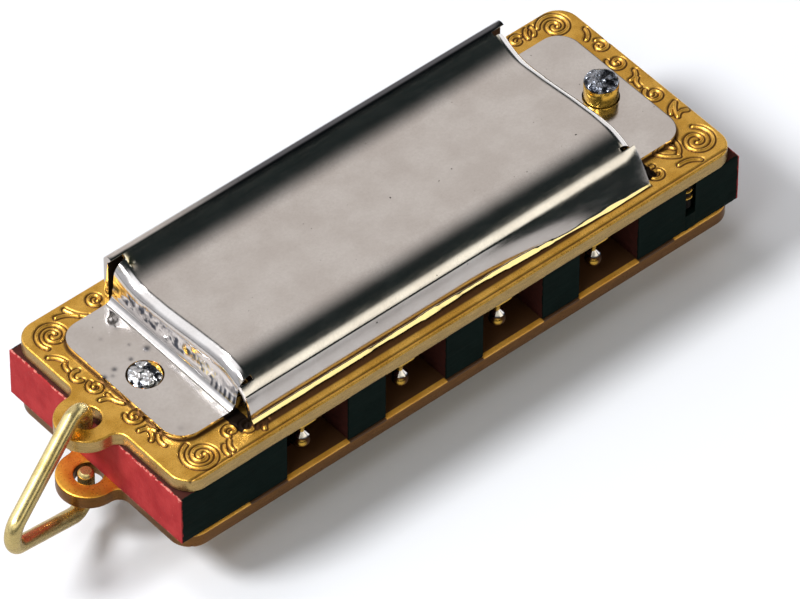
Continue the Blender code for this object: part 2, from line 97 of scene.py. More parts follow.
# Sizes repeated from the part's source, in millimetres
CHAMBER_COUNT = 4
CHAMBER_PITCH = 6.1
CHAMBER_WIDTH = 3.8
CHAMBER_CORNER = 0.5
COMB_BACK_WALL = 1.2
PIN_RADIUS = 0.87
PIN_FIT = 0.04
PLATE_CORNER = 1.2
LUG_X = -17.95
LUG_RADIUS = 1.6
LUG_FILLET = 0.6
LUG_HOLE_RADIUS = 0.72
REED_WIDTH = 1.7
REED_SIDE_GAP = 0.1
REED_TIP_GAP = 0.15
REED_SHORTENING = 0.6
SLOT_FROM_RIVET = 0.6
RIVET_SHANK_RADIUS = 0.3
RIVET_HEAD_RADIUS = 0.42
NAIL_RADIUS = 0.45
NAIL_DROP = 1.9
NAIL_BORE_GAP = 0.14
COVER_SHEET = 0.3
CROWN_HEIGHT = 2.47
LIP_GAP = 0.06
RIDGE_BEND = 0.35
RIDGE_TILT = math.radians(35.0)
ROLL_DEPTH = 2.72
TAB_LENGTH = 3.6
TAB_CORNER = 1.2
TAB_FRONT_INSET = 1.1
TAB_HOLE_RADIUS = 0.93
TAB_HEIGHT = 0.33
END_LEAN = 0.12
RELIEF_WIDTH = 0.2
BACK_POST_WIDTH = 1.6
BACK_RIM_DEPTH = 0.7
WIRE_RADIUS = 0.425
BAIL_AXIS_X = -18.1
BAIL_REACH = 6.4
BAIL_TIP_HEIGHT = 1.25
BAIL_BEND_START = 2.5
BAIL_BEND_RADIUS = 0.85
BAIL_APEX_RADIUS = 1.0
BAIL_REST_SWING = math.radians(19.0)

# Bends of the covers that are finer here than in the part's source
VALLEY_HEIGHT = 2.01
VALLEY_FROM_BACK = 2.6
TOP_BEND = 0.78
FOOT_BEND = 0.5

HOOD_END = TAB_END - TAB_LENGTH
CROWN_Y = COVER_FRONT + ROLL_DEPTH
VALLEY_Y = COVER_BACK - VALLEY_FROM_BACK
RIDGE_FOOT_Y = COVER_BACK - RIDGE_BEND * (1 + math.sin(RIDGE_TILT))
RIDGE_FOOT_HEIGHT = RIDGE_HEIGHT - RIDGE_BEND * (1 - math.cos(RIDGE_TILT))
TAB_BACK = RIDGE_FOOT_Y - RELIEF_WIDTH
TAB_FRONT = COVER_FRONT + TAB_FRONT_INSET


def configure(thing, **settings):
    for key, value in settings.items():
        setattr(thing, key, value)
    return thing


# Materials: small graphs of nodes, in millimetres from the comb's centre
class Graph:
    """Nodes of one tree. A value is a number, a colour of three numbers, or a socket."""

    def __init__(self, tree):
        self.tree = tree

    def node(self, kind, values=(), **settings):
        """A node with its settings, and values for its inputs from the first one on."""
        made = configure(self.tree.nodes.new(kind), **settings)
        for socket, value in zip(made.inputs, values):
            self.put(socket, value)
        return made

    def put(self, socket, value):
        if isinstance(value, bpy.types.NodeSocket):
            self.tree.links.new(value, socket)
        elif socket.type == "RGBA":
            socket.default_value = (*value, 1.0)
        else:
            socket.default_value = value

    def split(self, vector):
        return self.node("ShaderNodeSeparateXYZ", [vector]).outputs

    def band(self, value, low, high, start=0.0, end=1.0):
        """Smoothly from start to end while value goes from low to high."""
        values = (value, low, high, start, end)
        made = self.node("ShaderNodeMapRange", values, interpolation_type="SMOOTHSTEP")
        return made.outputs["Result"]

    def math(self, operation, first, second=0.0):
        return self.node("ShaderNodeMath", (first, second), operation=operation).outputs[0]

    def plus(self, first, second):
        return self.math("ADD", first, second)

    def minus(self, first, second):
        return self.math("SUBTRACT", first, second)

    def times(self, first, second):
        return self.math("MULTIPLY", first, second)

    def absolute(self, value):
        return self.math("ABSOLUTE", value)

    def mix(self, share, first, second):
        made = self.node("ShaderNodeMix", data_type="RGBA")
        self.put(made.inputs["Factor"], share)
        self.put(made.inputs[6], first)
        self.put(made.inputs[7], second)
        return made.outputs[2]


class Look(Graph):
    """A material with its shader, and patterns that lie still on the object."""

    def __init__(self, name, metallic=0.0):
        self.material = bpy.data.materials.new(name)
        self.material.use_nodes = True
        super().__init__(self.material.node_tree)
        self.shader = self.tree.nodes["Principled BSDF"]
        self.set("Metallic", metallic)
        self.where = self.node("ShaderNodeTexCoord").outputs["Object"]

    def set(self, name, value):
        self.put(self.shader.inputs[name], value)

    def coords(self, stretch=(1.0, 1.0, 1.0)):
        mapping = self.node("ShaderNodeMapping", [self.where])
        mapping.inputs["Scale"].default_value = [axis / MM for axis in stretch]
        return mapping.outputs["Vector"]

    def noise(self, scale, detail, rough, stretch=(1.0, 1.0, 1.0)):
        values = (self.coords(stretch), 0.0, scale, detail, rough)
        return self.node("ShaderNodeTexNoise", values).outputs["Fac"]

    def attribute(self, name):
        return self.node("ShaderNodeAttribute", attribute_name=name).outputs["Fac"]

    def upright(self):
        """One where the surface lies flat, nought on its sides."""
        normal = self.node("ShaderNodeNewGeometry").outputs["Normal"]
        return self.absolute(self.split(normal)[2])

    def bump(self, height, distance, strength=1.0, under=None):
        made = self.node("ShaderNodeBump")
        self.put(made.inputs["Height"], height)
        made.inputs["Distance"].default_value = distance * MM
        made.inputs["Strength"].default_value = strength
        if under is not None:
            self.put(made.inputs["Normal"], under)
        return made.outputs["Normal"]


def in_chambers(look):
    """How far a point of a plate lies inside the comb, and how far it lies in the dark there."""
    x, y, z = look.split(look.coords())
    first = look.plus(x, CHAMBER_COUNT / 2 * CHAMBER_PITCH)
    share = look.math("FRACT", look.math("DIVIDE", first, CHAMBER_PITCH))
    half = CHAMBER_WIDTH / CHAMBER_PITCH / 2
    opening = look.band(look.absolute(look.minus(share, 0.5)), half - 0.01, half + 0.01, 1.0, 0.0)
    front = look.band(y, 0.26 - PLATE_HALF_Y, 0.34 - PLATE_HALF_Y, 1.0, 0.0)
    face = look.band(look.absolute(z), PLATE_INNER + 0.07, PLATE_INNER + 0.1, 1.0, 0.0)
    within = look.band(look.absolute(x), COMB_HALF.x - 0.3, COMB_HALF.x, 1.0, 0.0)
    inner = look.times(face, within)
    return inner, look.times(inner, look.minus(1.0, look.times(opening, front)))


def brass_look(name, deep, pale, edge, rough, chambers=False, texture=1.0):
    """Satin brass: uneven tone, sides in an edge colour of their own, tarnish in hollows, and
    painted shade in the chambers and where the grime attribute says.
    """
    metallic = 0.9
    look = Look(name, metallic)
    cloud = look.noise(0.9, 4.0, 0.6)
    speck = look.noise(6.0, 2.0, 0.5)
    tone = look.mix(look.band(cloud, 0.35, 0.65), deep, pale)
    streak = look.noise(3.0, 4.0, 0.7, (0.3, 0.3, 2.5))
    # The sides take the edge colour by their slant; on the reed plates this paints the light they
    # reflect, pale on the upper plate and dark on the lower.
    side = look.mix(look.band(streak, 0.3, 0.7), edge, [0.74 * part for part in edge])
    tone = look.mix(look.band(speck, 0.66, 0.78, 0.0, 0.4 * texture), tone, (0.22, 0.1, 0.025))
    tone = look.mix(look.band(look.upright(), 0.25, 0.6), side, tone)
    # Patina and dirt from the grime attribute, which also carries painted shade.
    stain = look.attribute("grime")
    if chambers:
        # Painted shade inside the chambers, all but a lit strip at the openings' front.
        inner, dark = in_chambers(look)
        look.set("Metallic", look.minus(metallic, look.times(inner, 0.75)))
        stain = look.math("MAXIMUM", stain, dark)
    # Up to one: towards the tarnish colour, as patina and as painted shade.
    tone = look.mix(look.band(stain, 0.0, 1.0), tone, (0.085, 0.036, 0.012))
    # Above one: near-black painted shade, in the gaps beside the tabs and on the bodies of the
    # rivets and the nail.
    look.set("Base Color", look.mix(look.band(stain, 1.0, 2.0), tone, (0.002, 0.002, 0.002)))
    grain = look.band(look.noise(9.0, 4.0, 0.7), 0.3, 0.7, *rough)
    look.set("Roughness", look.plus(grain, look.times(stain, 0.2)))
    fine = look.bump(look.noise(18.0, 3.0, 0.7), 0.004 * texture, 0.6)
    look.set("Normal", look.bump(look.noise(3.0, 3.0, 0.6), 0.02 * texture, 0.5, fine))
    return look.material


def plated_look():
    """Nickel plating: faint cloudiness, fine grain and a few specks; brass where it is raw."""
    look = Look("nickel_plating", 1.0)
    cloud = look.noise(0.5, 3.0, 0.5)
    tone = look.mix(look.band(cloud, 0.3, 0.7), (0.72, 0.68, 0.655), (0.82, 0.79, 0.77))
    grain = look.noise(7.0, 2.0, 0.8)
    tone = look.mix(look.band(grain, 0.25, 0.75, 0.0, 0.22), tone, (0.55, 0.51, 0.48))
    speck = look.noise(5.5, 1.0, 0.4)
    tone = look.mix(look.band(speck, 0.8, 0.82), tone, (0.06, 0.055, 0.05))
    # Towards blue-black where grime is high: dirt and tool marks, the ridge top's darkening, and the
    # left wall's painted dark reflections.
    tone = look.mix(look.attribute("grime"), tone, (0.045, 0.055, 0.08))
    look.set("Base Color", look.mix(look.attribute("raw"), tone, (0.98, 0.8, 0.38)))
    hair = look.noise(5.0, 3.0, 0.7, (0.25, 1.6, 1.0))
    look.set("Roughness", look.band(hair, 0.3, 0.75, 0.11, 0.17))
    fine = look.bump(look.noise(16.0, 3.0, 0.7), 0.0025, 0.5)
    look.set("Normal", look.bump(look.noise(0.6, 2.0, 0.5), 0.02, 0.2, fine))
    return look.material


def comb_look():
    """Red paint on the ends, black on front and back, dark stained wood inside."""
    look = Look("painted_wood")
    x, y, z = look.split(look.coords())
    ragged = look.band(look.noise(4.0, 4.0, 0.7), 0.2, 0.8, -0.05, 0.05)
    ends = look.band(look.plus(look.absolute(x), ragged), COMB_HALF.x - 0.1, COMB_HALF.x - 0.04)
    fronts = look.band(look.plus(look.absolute(y), ragged), COMB_HALF.y - 0.12, COMB_HALF.y - 0.05)
    fibre = look.noise(2.0, 5.0, 0.65, (0.25, 1.6, 1.6))
    wood = look.mix(fibre, (0.02, 0.007, 0.006), (0.075, 0.022, 0.017))
    black = look.mix(look.noise(1.2, 4.0, 0.6), (0.001, 0.005, 0.004), (0.004, 0.012, 0.01))
    cloud = look.noise(0.8, 4.0, 0.6)
    red = look.mix(look.band(cloud, 0.3, 0.7), (0.255, 0.019, 0.021), (0.335, 0.032, 0.033))
    rim = look.band(look.absolute(z), COMB_HALF.z - 0.14, COMB_HALF.z - 0.02, 0.0, 0.22)
    chip = look.band(look.plus(look.noise(5.0, 3.0, 0.6), rim), 0.7, 0.76, 0.0, 0.7)
    red = look.mix(chip, red, (0.6, 0.22, 0.18))
    # The walls of the nail's notch take the front's black, a painted shade in place of their wood.
    notch = look.band(look.absolute(look.minus(x, NAIL.x)), 0.9, 1.0, 1.0, 0.0)
    tone = look.mix(look.math("MAXIMUM", fronts, notch), wood, black)
    look.set("Base Color", look.mix(ends, tone, red))
    look.set("Specular IOR Level", 0.04)
    look.set("Roughness", look.band(fibre, 0.2, 0.8, 0.55, 0.7))
    fine = look.bump(look.noise(12.0, 3.0, 0.6), 0.01, 0.5)
    look.set("Normal", look.bump(fibre, 0.05, 0.5, fine))
    return look.material


def peened_look(name, bright, low, high):
    """Hammered pin end: silver lumps and black pits."""
    look = Look(name, 1.0)
    pits = look.noise(2.3, 1.5, 0.55)
    look.set("Base Color", look.mix(look.band(pits, low, high), (0.02, 0.022, 0.028), bright))
    look.set("Roughness", look.band(pits, 0.35, 0.65, 0.3, 0.14))
    look.set("Normal", look.bump(pits, 0.22, 1.0, look.bump(look.noise(7.0, 2.0, 0.5), 0.03)))
    return look.material


def floor_look():
    """Pale paper; polished metal sees it greyer than the eye does, except past the right end."""
    look = Look("pale_paper")
    x, y, z = look.split(look.coords())
    paper = look.mix(look.noise(0.02, 2.0, 0.5), (0.668, 0.684, 0.72), (0.698, 0.714, 0.75))
    glossy = look.node("ShaderNodeLightPath").outputs["Is Glossy Ray"]
    past_end = look.times(look.band(x, 16.0, 18.0), look.band(y, -6.0, -4.0))
    seen = look.mix(past_end, (0.42, 0.41, 0.41), (0.95, 0.96, 0.97))
    look.set("Base Color", look.mix(glossy, paper, seen))
    look.set("Roughness", look.band(look.noise(0.2, 2.0, 0.5), 0.2, 0.8, 0.8, 0.9))
    return look.material


# Making pieces
SMOOTH_ANGLE = math.radians(40.0)


def add_object(name, data):
    made = bpy.data.objects.new(name, data)
    bpy.context.scene.collection.objects.link(made)
    return made


def new_piece(node, ending, verts, faces, materials, slot, body="harmonica_body", **values):
    """A piece from points in millimetres, riding on its body in place of a CAD node."""
    name = node + ending
    mesh = bpy.data.meshes.new(name)
    mesh.from_pydata([Vector(vert) * MM for vert in verts], [], faces)
    for key, numbers in values.items():
        layer = mesh.attributes.new(key, "FLOAT", "POINT")
        layer.data.foreach_set("value", numbers)
    for material in materials:
        mesh.materials.append(material)
    piece = add_object(name, mesh)
    piece.location = CENTRE
    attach(piece, body)
    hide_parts(node)
    return piece


def weld(piece):
    """Joins the points that coincide, turns the faces outward and shades them."""
    bm = bmesh.new()
    bm.from_mesh(piece.data)
    bmesh.ops.remove_doubles(bm, verts=bm.verts, dist=1e-7)
    bmesh.ops.recalc_face_normals(bm, faces=bm.faces)
    bm.to_mesh(piece.data)
    bm.free()
    piece.data.shade_smooth()
    piece.data.set_sharp_from_angle(angle=SMOOTH_ANGLE)


def apply_modifiers(piece):
    depsgraph = bpy.context.evaluated_depsgraph_get()
    baked = bpy.data.meshes.new_from_object(piece.evaluated_get(depsgraph))
    piece.modifiers.clear()
    old = piece.data
    piece.data = baked
    bpy.data.meshes.remove(old)


def wave(x, y, z):
    """Smooth noise, from about -1 to 1, that changes over a distance of about 1."""
    return noise.noise(Vector((x, y, z)))


def smooth(share):
    share = max(0.0, min(1.0, share))
    return share * share * (3 - 2 * share)


def spread(start, end, step):
    """Evenly spaced values after start, up to and including end, at most step apart."""
    count = max(1, math.ceil(abs(end - start) / step))
    return [start + (end - start) * (i + 1) / count for i in range(count)]


def winding(x, y, radius, end_radius, start, end, steps):
    """Points round (x, y), from one radius to another; angles in radians."""
    points = []
    for i in range(steps + 1):
        angle = start + (end - start) * i / steps
        r = radius + (end_radius - radius) * i / steps
        points.append((x + r * math.cos(angle), y + r * math.sin(angle)))
    return points


def arc(centre, radius, start, end, step=6.0):
    """Points on an arc in a plane, both ends included; angles in radians, step in degrees."""
    steps = max(2, math.ceil(abs(end - start) / math.radians(step)))
    return winding(*centre, radius, radius, start, end, steps)


def ring(x, y, radius):
    """A hole's loop, clockwise, so that its left side is the piece."""
    count = 48
    angles = [2 * math.pi * i / count for i in range(count)]
    return [Vector((x + radius * math.cos(a), y - radius * math.sin(a))) for a in angles]


def pin_holes():
    return [ring(end * PIN_X, PIN_Y, PIN_RADIUS + PIN_FIT) for end in (-1, 1)]


def divided(line, step):
    """The line's points without the last one, with more between them where it needs them."""
    points = []
    for start, end in zip(line, line[1:]):
        start = Vector(start)
        run = Vector(end) - start
        count = max(1, math.ceil(run.length / step))
        points += [start + run * i / count for i in range(count)]
    return points


def fine_loop(loop, step):
    return divided(loop + loop[:1], step)


def belts(rows):
    """Faces between closed rows of points, given by the points' numbers."""
    faces = []
    for near, far in zip(rows, rows[1:]):
        faces += [(near[i - 1], near[i], far[i], far[i - 1]) for i in range(len(near))]
    return faces


def inset_loop(loop, distance):
    """Every corner of the loop moved to its left side."""
    moved = []
    for i, point in enumerate(loop):
        before = (point - loop[i - 1]).normalized()
        after = (loop[(i + 1) % len(loop)] - point).normalized()
        along = (before + after).normalized()
        left = Vector((-along.y, along.x))
        stretch = max(0.6, left.dot(Vector((-before.y, before.x))))
        moved.append(point + left * distance / stretch)
    return moved


def inside(points, loop):
    x, y = points[:, 0], points[:, 1]
    hit = np.zeros(len(points), bool)
    for (x1, y1), (x2, y2) in zip(loop, loop[1:] + loop[:1]):
        if y1 != y2:
            hit ^= ((y1 > y) != (y2 > y)) & (x < (x2 - x1) * (y - y1) / (y2 - y1) + x1)
    return hit


def on_plan(points, loops):
    """Which points lie inside the first loop and outside the others."""
    hit = inside(points, loops[0])
    for loop in loops[1:]:
        hit &= ~inside(points, loop)
    return hit


def distance_to(points, lines):
    """Distance of each point to the nearest of the lines, which are lists of points."""
    nearest = np.full(len(points), 1e9)
    for line in lines:
        for start, end in zip(line, line[1:]):
            start = np.array(start)
            run = np.array(end) - start
            share = np.clip((points - start) @ run / max(run @ run, 1e-12), 0.0, 1.0)
            gap = points - start - share[:, None] * run
            nearest = np.minimum(nearest, np.hypot(gap[:, 0], gap[:, 1]))
    return nearest


def hex_grid(low, high, step):
    """Points of a triangular grid over a rectangle."""
    height = 0.866
    rows = int((high[1] - low[1]) / (step * height)) + 1
    columns = int((high[0] - low[0]) / step) + 1
    x, y = np.meshgrid(np.arange(columns) * step, np.arange(rows) * step * height)
    x = x + (np.arange(rows) % 2)[:, None] * step / 2
    return np.stack([low[0] + x.ravel(), low[1] + y.ravel()], axis=1)


def plan(loops, rounding, grids):
    """Triangles over a plan: [x, y, drop] of its points, faces, and the loops' point numbers."""
    points = [point for loop in loops for point in loop]
    drops = [rounding] * len(points)
    edges = []
    first = 0
    for loop in loops:
        edges += [(first + i, first + (i + 1) % len(loop)) for i in range(len(loop))]
        first += len(loop)
    rim = len(points)
    for angle in (30, 60, 90):
        turn = math.radians(angle)
        for loop in loops:
            moved = inset_loop(loop, rounding * (1 - math.cos(turn)))
            points += moved
            drops += [rounding * (1 - math.sin(turn))] * len(moved)
    sides = [loop + loop[:1] for loop in loops]
    for low, high, step in grids:
        grid = hex_grid(low, high, step)
        grid = grid[on_plan(grid, loops)]
        grid = grid[distance_to(grid, sides) > rounding + step * 0.5]
        points += [Vector(point) for point in grid]
        drops += [0.0] * len(grid)
    made = geometry.delaunay_2d_cdt(points, edges, [], 1, 1e-5)
    places, _, triangles, origins = made[:4]
    number = {}
    for new, olds in enumerate(origins):
        for old in olds:
            number[old] = new
    drop = [0.0] * len(places)
    for old, new in number.items():
        drop[new] = drops[old]
    on_rim = {number[i] for i in range(rim)}
    doubtful = [face for face in triangles if on_rim.issuperset(face)]
    centres = [sum((places[corner] for corner in face), Vector((0, 0))) / 3 for face in doubtful]
    good = on_plan(np.array(centres), loops)
    bad = {tuple(face) for face, fine in zip(doubtful, good) if not fine}
    faces = [face for face in triangles if tuple(face) not in bad]
    flat = [(point.x, point.y, d) for point, d in zip(places, drop)]
    return flat, faces, [number[i] for i in range(rim)]


def slab(loops, outer, inner, rounding, grids, relief=None, side_step=0.15, side_shape=None):
    """A flat piece between two heights: points, faces and per-point darkening, patina with painted
    shade; relief shapes its outer face.
    """
    sign = 1.0 if outer > inner else -1.0
    verts, faces, grime, rims = [], [], [], []
    for height, way, own_grids in ((outer, sign, grids), (inner, -sign, [])):
        flat, triangles, rim = plan(loops, rounding, own_grids)
        start = len(verts)
        rise = dirt_and_shade = np.zeros(len(flat))
        if way == sign and relief is not None:
            rise, dirt_and_shade = relief(np.array([point[:2] for point in flat]))
        verts += [(x, y, height + way * (r - drop)) for (x, y, drop), r in zip(flat, rise)]
        grime += list(dirt_and_shade)
        faces += [tuple(start + corner for corner in face) for face in triangles]
        rims.append([start + number for number in rim])
    rows = max(1, round((abs(outer - inner) - 2 * rounding) / side_step))
    levels = [rims[0]]
    for row in range(1, rows):
        level = []
        for top, bottom in zip(*rims):
            point = Vector(verts[top]).lerp(Vector(verts[bottom]), row / rows)
            level.append(len(verts))
            verts.append(tuple(side_shape(point) if side_shape else point))
            grime.append(0.0)
        levels.append(level)
    levels.append(rims[1])
    first = 0
    for loop in loops:
        faces += belts([level[first:first + len(loop)] for level in levels])
        first += len(loop)
    return verts, faces, grime


# Reed plates, with scrolls pressed into their outer faces
def curl(x, y, radius, end_radius, start, sweep):
    """A stroke that winds round (x, y) from one radius to another; angles in degrees."""
    steps = int(abs(sweep) / 10)
    angles = (math.radians(start), math.radians(start + sweep))
    return winding(x, y, radius, end_radius, *angles, steps)


def bow(x1, y1, x2, y2, rise):
    """A bowed stroke from one point to another, rising to the left of its way."""
    run = Vector((x2 - x1, y2 - y1))
    side = Vector((-run.y, run.x)).normalized()
    shares = [i / 8 for i in range(9)]
    return [tuple(Vector((x1, y1)) + run * t + side * rise * 4 * t * (1 - t)) for t in shares]


# Curls of the ornament: centre, first and last radius, start and sweep in degrees
CURLS = [
    (-15.8, 5.15, 0.9, 0.14, 215, -560),
    (-12.8, 5.7, 0.42, 0.16, 250, -330),
    (-16.55, 2.3, 0.38, 0.3, 60, 200),
    (-16.35, 1.25, 0.42, 0.12, 100, 400),
    (-16.15, -1.4, 0.48, 0.14, 130, 410),
    (-15.35, -5.35, 1.0, 0.16, 100, 620),
    (-13.3, -5.0, 0.4, 0.14, 220, -330),
    (-12.5, -5.35, 0.42, 0.12, 60, 380),
    (16.0, 5.45, 0.88, 0.14, 150, -560),
    (13.9, 5.9, 0.36, 0.16, 20, 300),
    (16.8, 3.0, 0.42, 0.2, 80, -300),
    (16.65, 1.6, 0.5, 0.12, 130, 430),
    (16.6, -1.2, 0.52, 0.14, 110, 400),
    (16.05, -4.9, 0.95, 0.14, 60, -540),
    (13.1, -5.3, 0.5, 0.12, 70, 440),
]

# Its bows: where each starts and ends, and its rise
BOWS = [
    (-15.0, 5.95, -14.1, 5.35, 0.12),
    (-14.35, 6.1, -13.75, 5.05, -0.1),
    (-16.9, 4.15, -16.45, 3.45, 0.1),
    (-16.45, 3.45, -16.7, 2.9, -0.08),
    (-16.75, 0.45, -16.2, -0.05, 0.12),
    (-16.25, 0.5, -16.05, -0.4, -0.1),
    (-16.6, -2.25, -16.0, -2.75, 0.14),
    (-16.15, -2.3, -16.55, -3.1, 0.12),
    (-16.1, -3.05, -16.25, -3.75, -0.1),
    (-14.35, -6.15, -14.15, -5.55, 0.08),
    (-14.0, -6.05, -13.75, -5.45, 0.08),
    (-12.0, -5.95, -11.6, -5.6, 0.06),
    (15.05, 6.15, 14.8, 5.65, 0.08),
    (14.75, 6.2, 14.45, 5.65, -0.08),
    (13.3, 6.15, 12.85, 5.65, 0.1),
    (17.0, 4.35, 16.55, 3.75, 0.1),
    (16.95, 0.65, 16.35, 0.25, 0.14),
    (16.7, 0.2, 16.4, -0.35, -0.1),
    (16.3, -2.75, 17.0, -2.25, 0.1),
    (16.95, -2.3, 16.45, -3.1, -0.08),
    (16.45, -3.1, 17.1, -3.05, 0.16),
    (15.15, -3.95, 14.75, -5.05, 0.2),
    (13.85, -4.15, 14.7, -5.15, -0.12),
    (14.3, -4.05, 14.85, -4.6, 0.1),
    (14.3, -5.6, 15.35, -6.0, 0.14),
]
SCROLLS = [curl(*values) for values in CURLS] + [bow(*values) for values in BOWS]
CORD_RISE = 0.06
CORD_WIDTH = 0.07
HOLLOW_DEPTH = 0.06
HOLLOW_AWAY = 0.135
HOLLOW_WIDTH = 0.045
HOLLOW_DIRT_WIDTH = 0.055
LINE_FROM_EDGE = 0.24
LINE_WIDTH = 0.045
LINE_DEPTH = 0.05
# Width of the painted shade round each tab
TAB_SHADE_WIDTH = 0.16

# Spacing of a plate's points: fine at the upper plate's ends, coarse under the covers
PLATE_STEPS = {1: 0.042, -1: 0.07}
COVERED_STEP = 0.4
GRID_LEFT = -19.6
GRID_RIGHT = 17.4
GRID_BACK = 6.5
COVERED_FRONT = -5.3


def tab_corners(step):
    """The back and the front rounded corner of the right tab, from the hood outward and back."""
    centre_x = TAB_END - TAB_CORNER
    back = arc((centre_x, TAB_BACK - TAB_CORNER), TAB_CORNER, math.pi / 2, 0.0, step)
    front = arc((centre_x, TAB_FRONT + TAB_CORNER), TAB_CORNER, 0.0, -math.pi / 2, step)
    return back, front


def tab_outline(end):
    """Where a tab of the cover lies on the plate."""
    back, front = tab_corners(15.0)
    points = [(HOOD_END, TAB_BACK)] + back + front + [(HOOD_END, TAB_FRONT)]
    return [(end * x, y) for x, y in points]


def pressed(points):
    """Relief of a plate's outer face: corded scrolls in a hollow, and a line along the edge; with
    patina in the hollows and painted shade beside the covers.
    """
    gap = distance_to(points, SCROLLS)
    cord = CORD_RISE * np.exp(-(gap / CORD_WIDTH) ** 2)
    hollow = -HOLLOW_DEPTH * np.exp(-((gap - HOLLOW_AWAY) / HOLLOW_WIDTH) ** 2)
    rise = cord + hollow
    dirt_and_shade = np.exp(-((gap - HOLLOW_AWAY) / HOLLOW_DIRT_WIDTH) ** 2)
    edge = np.abs(points[:, 1] + PLATE_HALF_Y - LINE_FROM_EDGE)
    line = np.exp(-(edge / LINE_WIDTH) ** 2)
    rise -= LINE_DEPTH * line
    dirt_and_shade = np.maximum(dirt_and_shade, 0.8 * line)
    # Painted shade: a dark band under the covers' lips, near-black in the gaps beside the tabs'
    # fronts, and a dark rim round each tab.
    x, y = np.abs(points[:, 0]), points[:, 1]
    out = COVER_FRONT - y
    before_hood = x < HOOD_END + 0.1
    under_lip_shade = (out > -0.2) * np.exp(-np.maximum(out - 0.36, 0.0) ** 2 / 0.012) * before_hood
    beside_tab = (x > HOOD_END - 0.1) * (x < HOOD_END + 0.75)
    front_gap_shade = 1.8 * beside_tab * (out < 0.0) * (y < TAB_FRONT + 0.3)
    from_tab = distance_to(points, [tab_outline(-1), tab_outline(1)])
    around_tab_shade = 0.85 * np.exp(-(from_tab / TAB_SHADE_WIDTH) ** 4)
    for more in (under_lip_shade, front_gap_shade, around_tab_shade):
        dirt_and_shade = np.maximum(dirt_and_shade, more)
    return rise, dirt_and_shade


def plate_loop():
    """Anticlockwise outline with the lug blended into the left edge."""
    inner_x = PLATE_HALF_X - PLATE_CORNER
    inner_y = PLATE_HALF_Y - PLATE_CORNER
    quarter = math.pi / 2
    points = arc((inner_x, -inner_y), PLATE_CORNER, -quarter, 0.0)
    points += arc((inner_x, inner_y), PLATE_CORNER, 0.0, quarter)
    points += arc((-inner_x, inner_y), PLATE_CORNER, quarter, math.pi)
    fillet_x = -PLATE_HALF_X - LUG_FILLET
    across = fillet_x - LUG_X
    fillet_y = math.sqrt((LUG_RADIUS + LUG_FILLET) ** 2 - across**2)
    meet = math.atan2(fillet_y, across)
    points += arc((fillet_x, fillet_y), LUG_FILLET, 0.0, meet - math.pi)
    points += arc((LUG_X, 0.0), LUG_RADIUS, meet, 2 * math.pi - meet)[1:-1]
    points += arc((fillet_x, -fillet_y), LUG_FILLET, math.pi - meet, 0.0)
    points += arc((-inner_x, -inner_y), PLATE_CORNER, math.pi, 3 * quarter)
    return points


def slot_loop(rivet, way, length):
    """The slot under a reed, clockwise."""
    half = REED_WIDTH / 2 + REED_SIDE_GAP
    root = rivet.y + way * SLOT_FROM_RIVET
    tip = rivet.y + way * (length + REED_TIP_GAP)
    low, high = min(root, tip), max(root, tip)
    left, right = rivet.x - half, rivet.x + half
    return [(left, low), (left, high), (right, high), (right, low)]


def make_plate(name, side, kind, material):
    low, high = local_box(kind + "_reed_1")
    rivet = middle(kind + "_rivet_1")
    longest = max(high.y - rivet.y, rivet.y - low.y)
    loops = [fine_loop(plate_loop(), 0.12)]
    for index in range(CHAMBER_COUNT):
        rivet = middle(kind + "_rivet_" + str(index + 1))
        length = longest - REED_SHORTENING * index
        loops.append(fine_loop(slot_loop(rivet, side, length), 0.3))
    loops += pin_holes() + [ring(LUG_X, 0.0, LUG_HOLE_RADIUS)]
    step = PLATE_STEPS[side]
    end = HOOD_END - 0.1
    grids = [
        ((GRID_LEFT, -GRID_BACK), (-end, GRID_BACK), step),
        ((end, -GRID_BACK), (GRID_RIGHT, GRID_BACK), step),
        ((step - end, -GRID_BACK), (end - step, COVERED_FRONT), step * 1.3),
        ((step - end, COVERED_FRONT + step), (end - step, GRID_BACK), COVERED_STEP),
    ]
    verts, faces, grime = slab(loops, side * PLATE_OUTER, side * PLATE_INNER, 0.09, grids, pressed)
    weld(new_piece(name, "_pressed", verts, faces, [material], "plate_brass", grime=grime))


# Comb: one block with four chambers, its edges eased
def comb_worn(point):
    return point * (1.0 + 0.0006 * wave(point.x * 0.7, point.y * 0.7, point.z * 2.5))


def make_comb(material):
    half_x, half_y, top = COMB_HALF
    back = half_y - COMB_BACK_WALL - CHAMBER_CORNER
    loop = [(-half_x, half_y), (-half_x, -half_y)]
    for index in range(CHAMBER_COUNT):
        x = (index - (CHAMBER_COUNT - 1) / 2) * CHAMBER_PITCH
        left, right = x - CHAMBER_WIDTH / 2, x + CHAMBER_WIDTH / 2
        loop.append((left, -half_y))
        loop += arc((left + CHAMBER_CORNER, back), CHAMBER_CORNER, math.pi, math.pi / 2, 15.0)
        loop += arc((right - CHAMBER_CORNER, back), CHAMBER_CORNER, math.pi / 2, 0.0, 15.0)
        loop.append((right, -half_y))
    radius = NAIL_RADIUS + NAIL_BORE_GAP
    behind = NAIL.y + half_y
    turn = math.atan2(-behind, -math.sqrt(radius**2 - behind**2))
    notch = arc((NAIL.x, NAIL.y), radius, turn + 2 * math.pi, -(turn + math.pi), 15.0)
    loop += notch + [(half_x, -half_y), (half_x, half_y)]
    loops = [fine_loop(loop, 0.3)] + pin_holes()
    grids = [((-half_x, -half_y), (half_x, half_y), 0.8)]
    verts, faces, _ = slab(loops, top, -top, 0.07, grids, side_step=0.3, side_shape=comb_worn)
    plug = []
    for height in (top - NAIL_DROP - NAIL_BORE_GAP, -top):
        plug.append(range(len(verts), len(verts) + len(notch)))
        verts += [(x, y, height) for x, y in notch]
    faces += belts(plug) + plug
    weld(new_piece("comb", "_painted", verts, faces, [material], "comb_wood"))


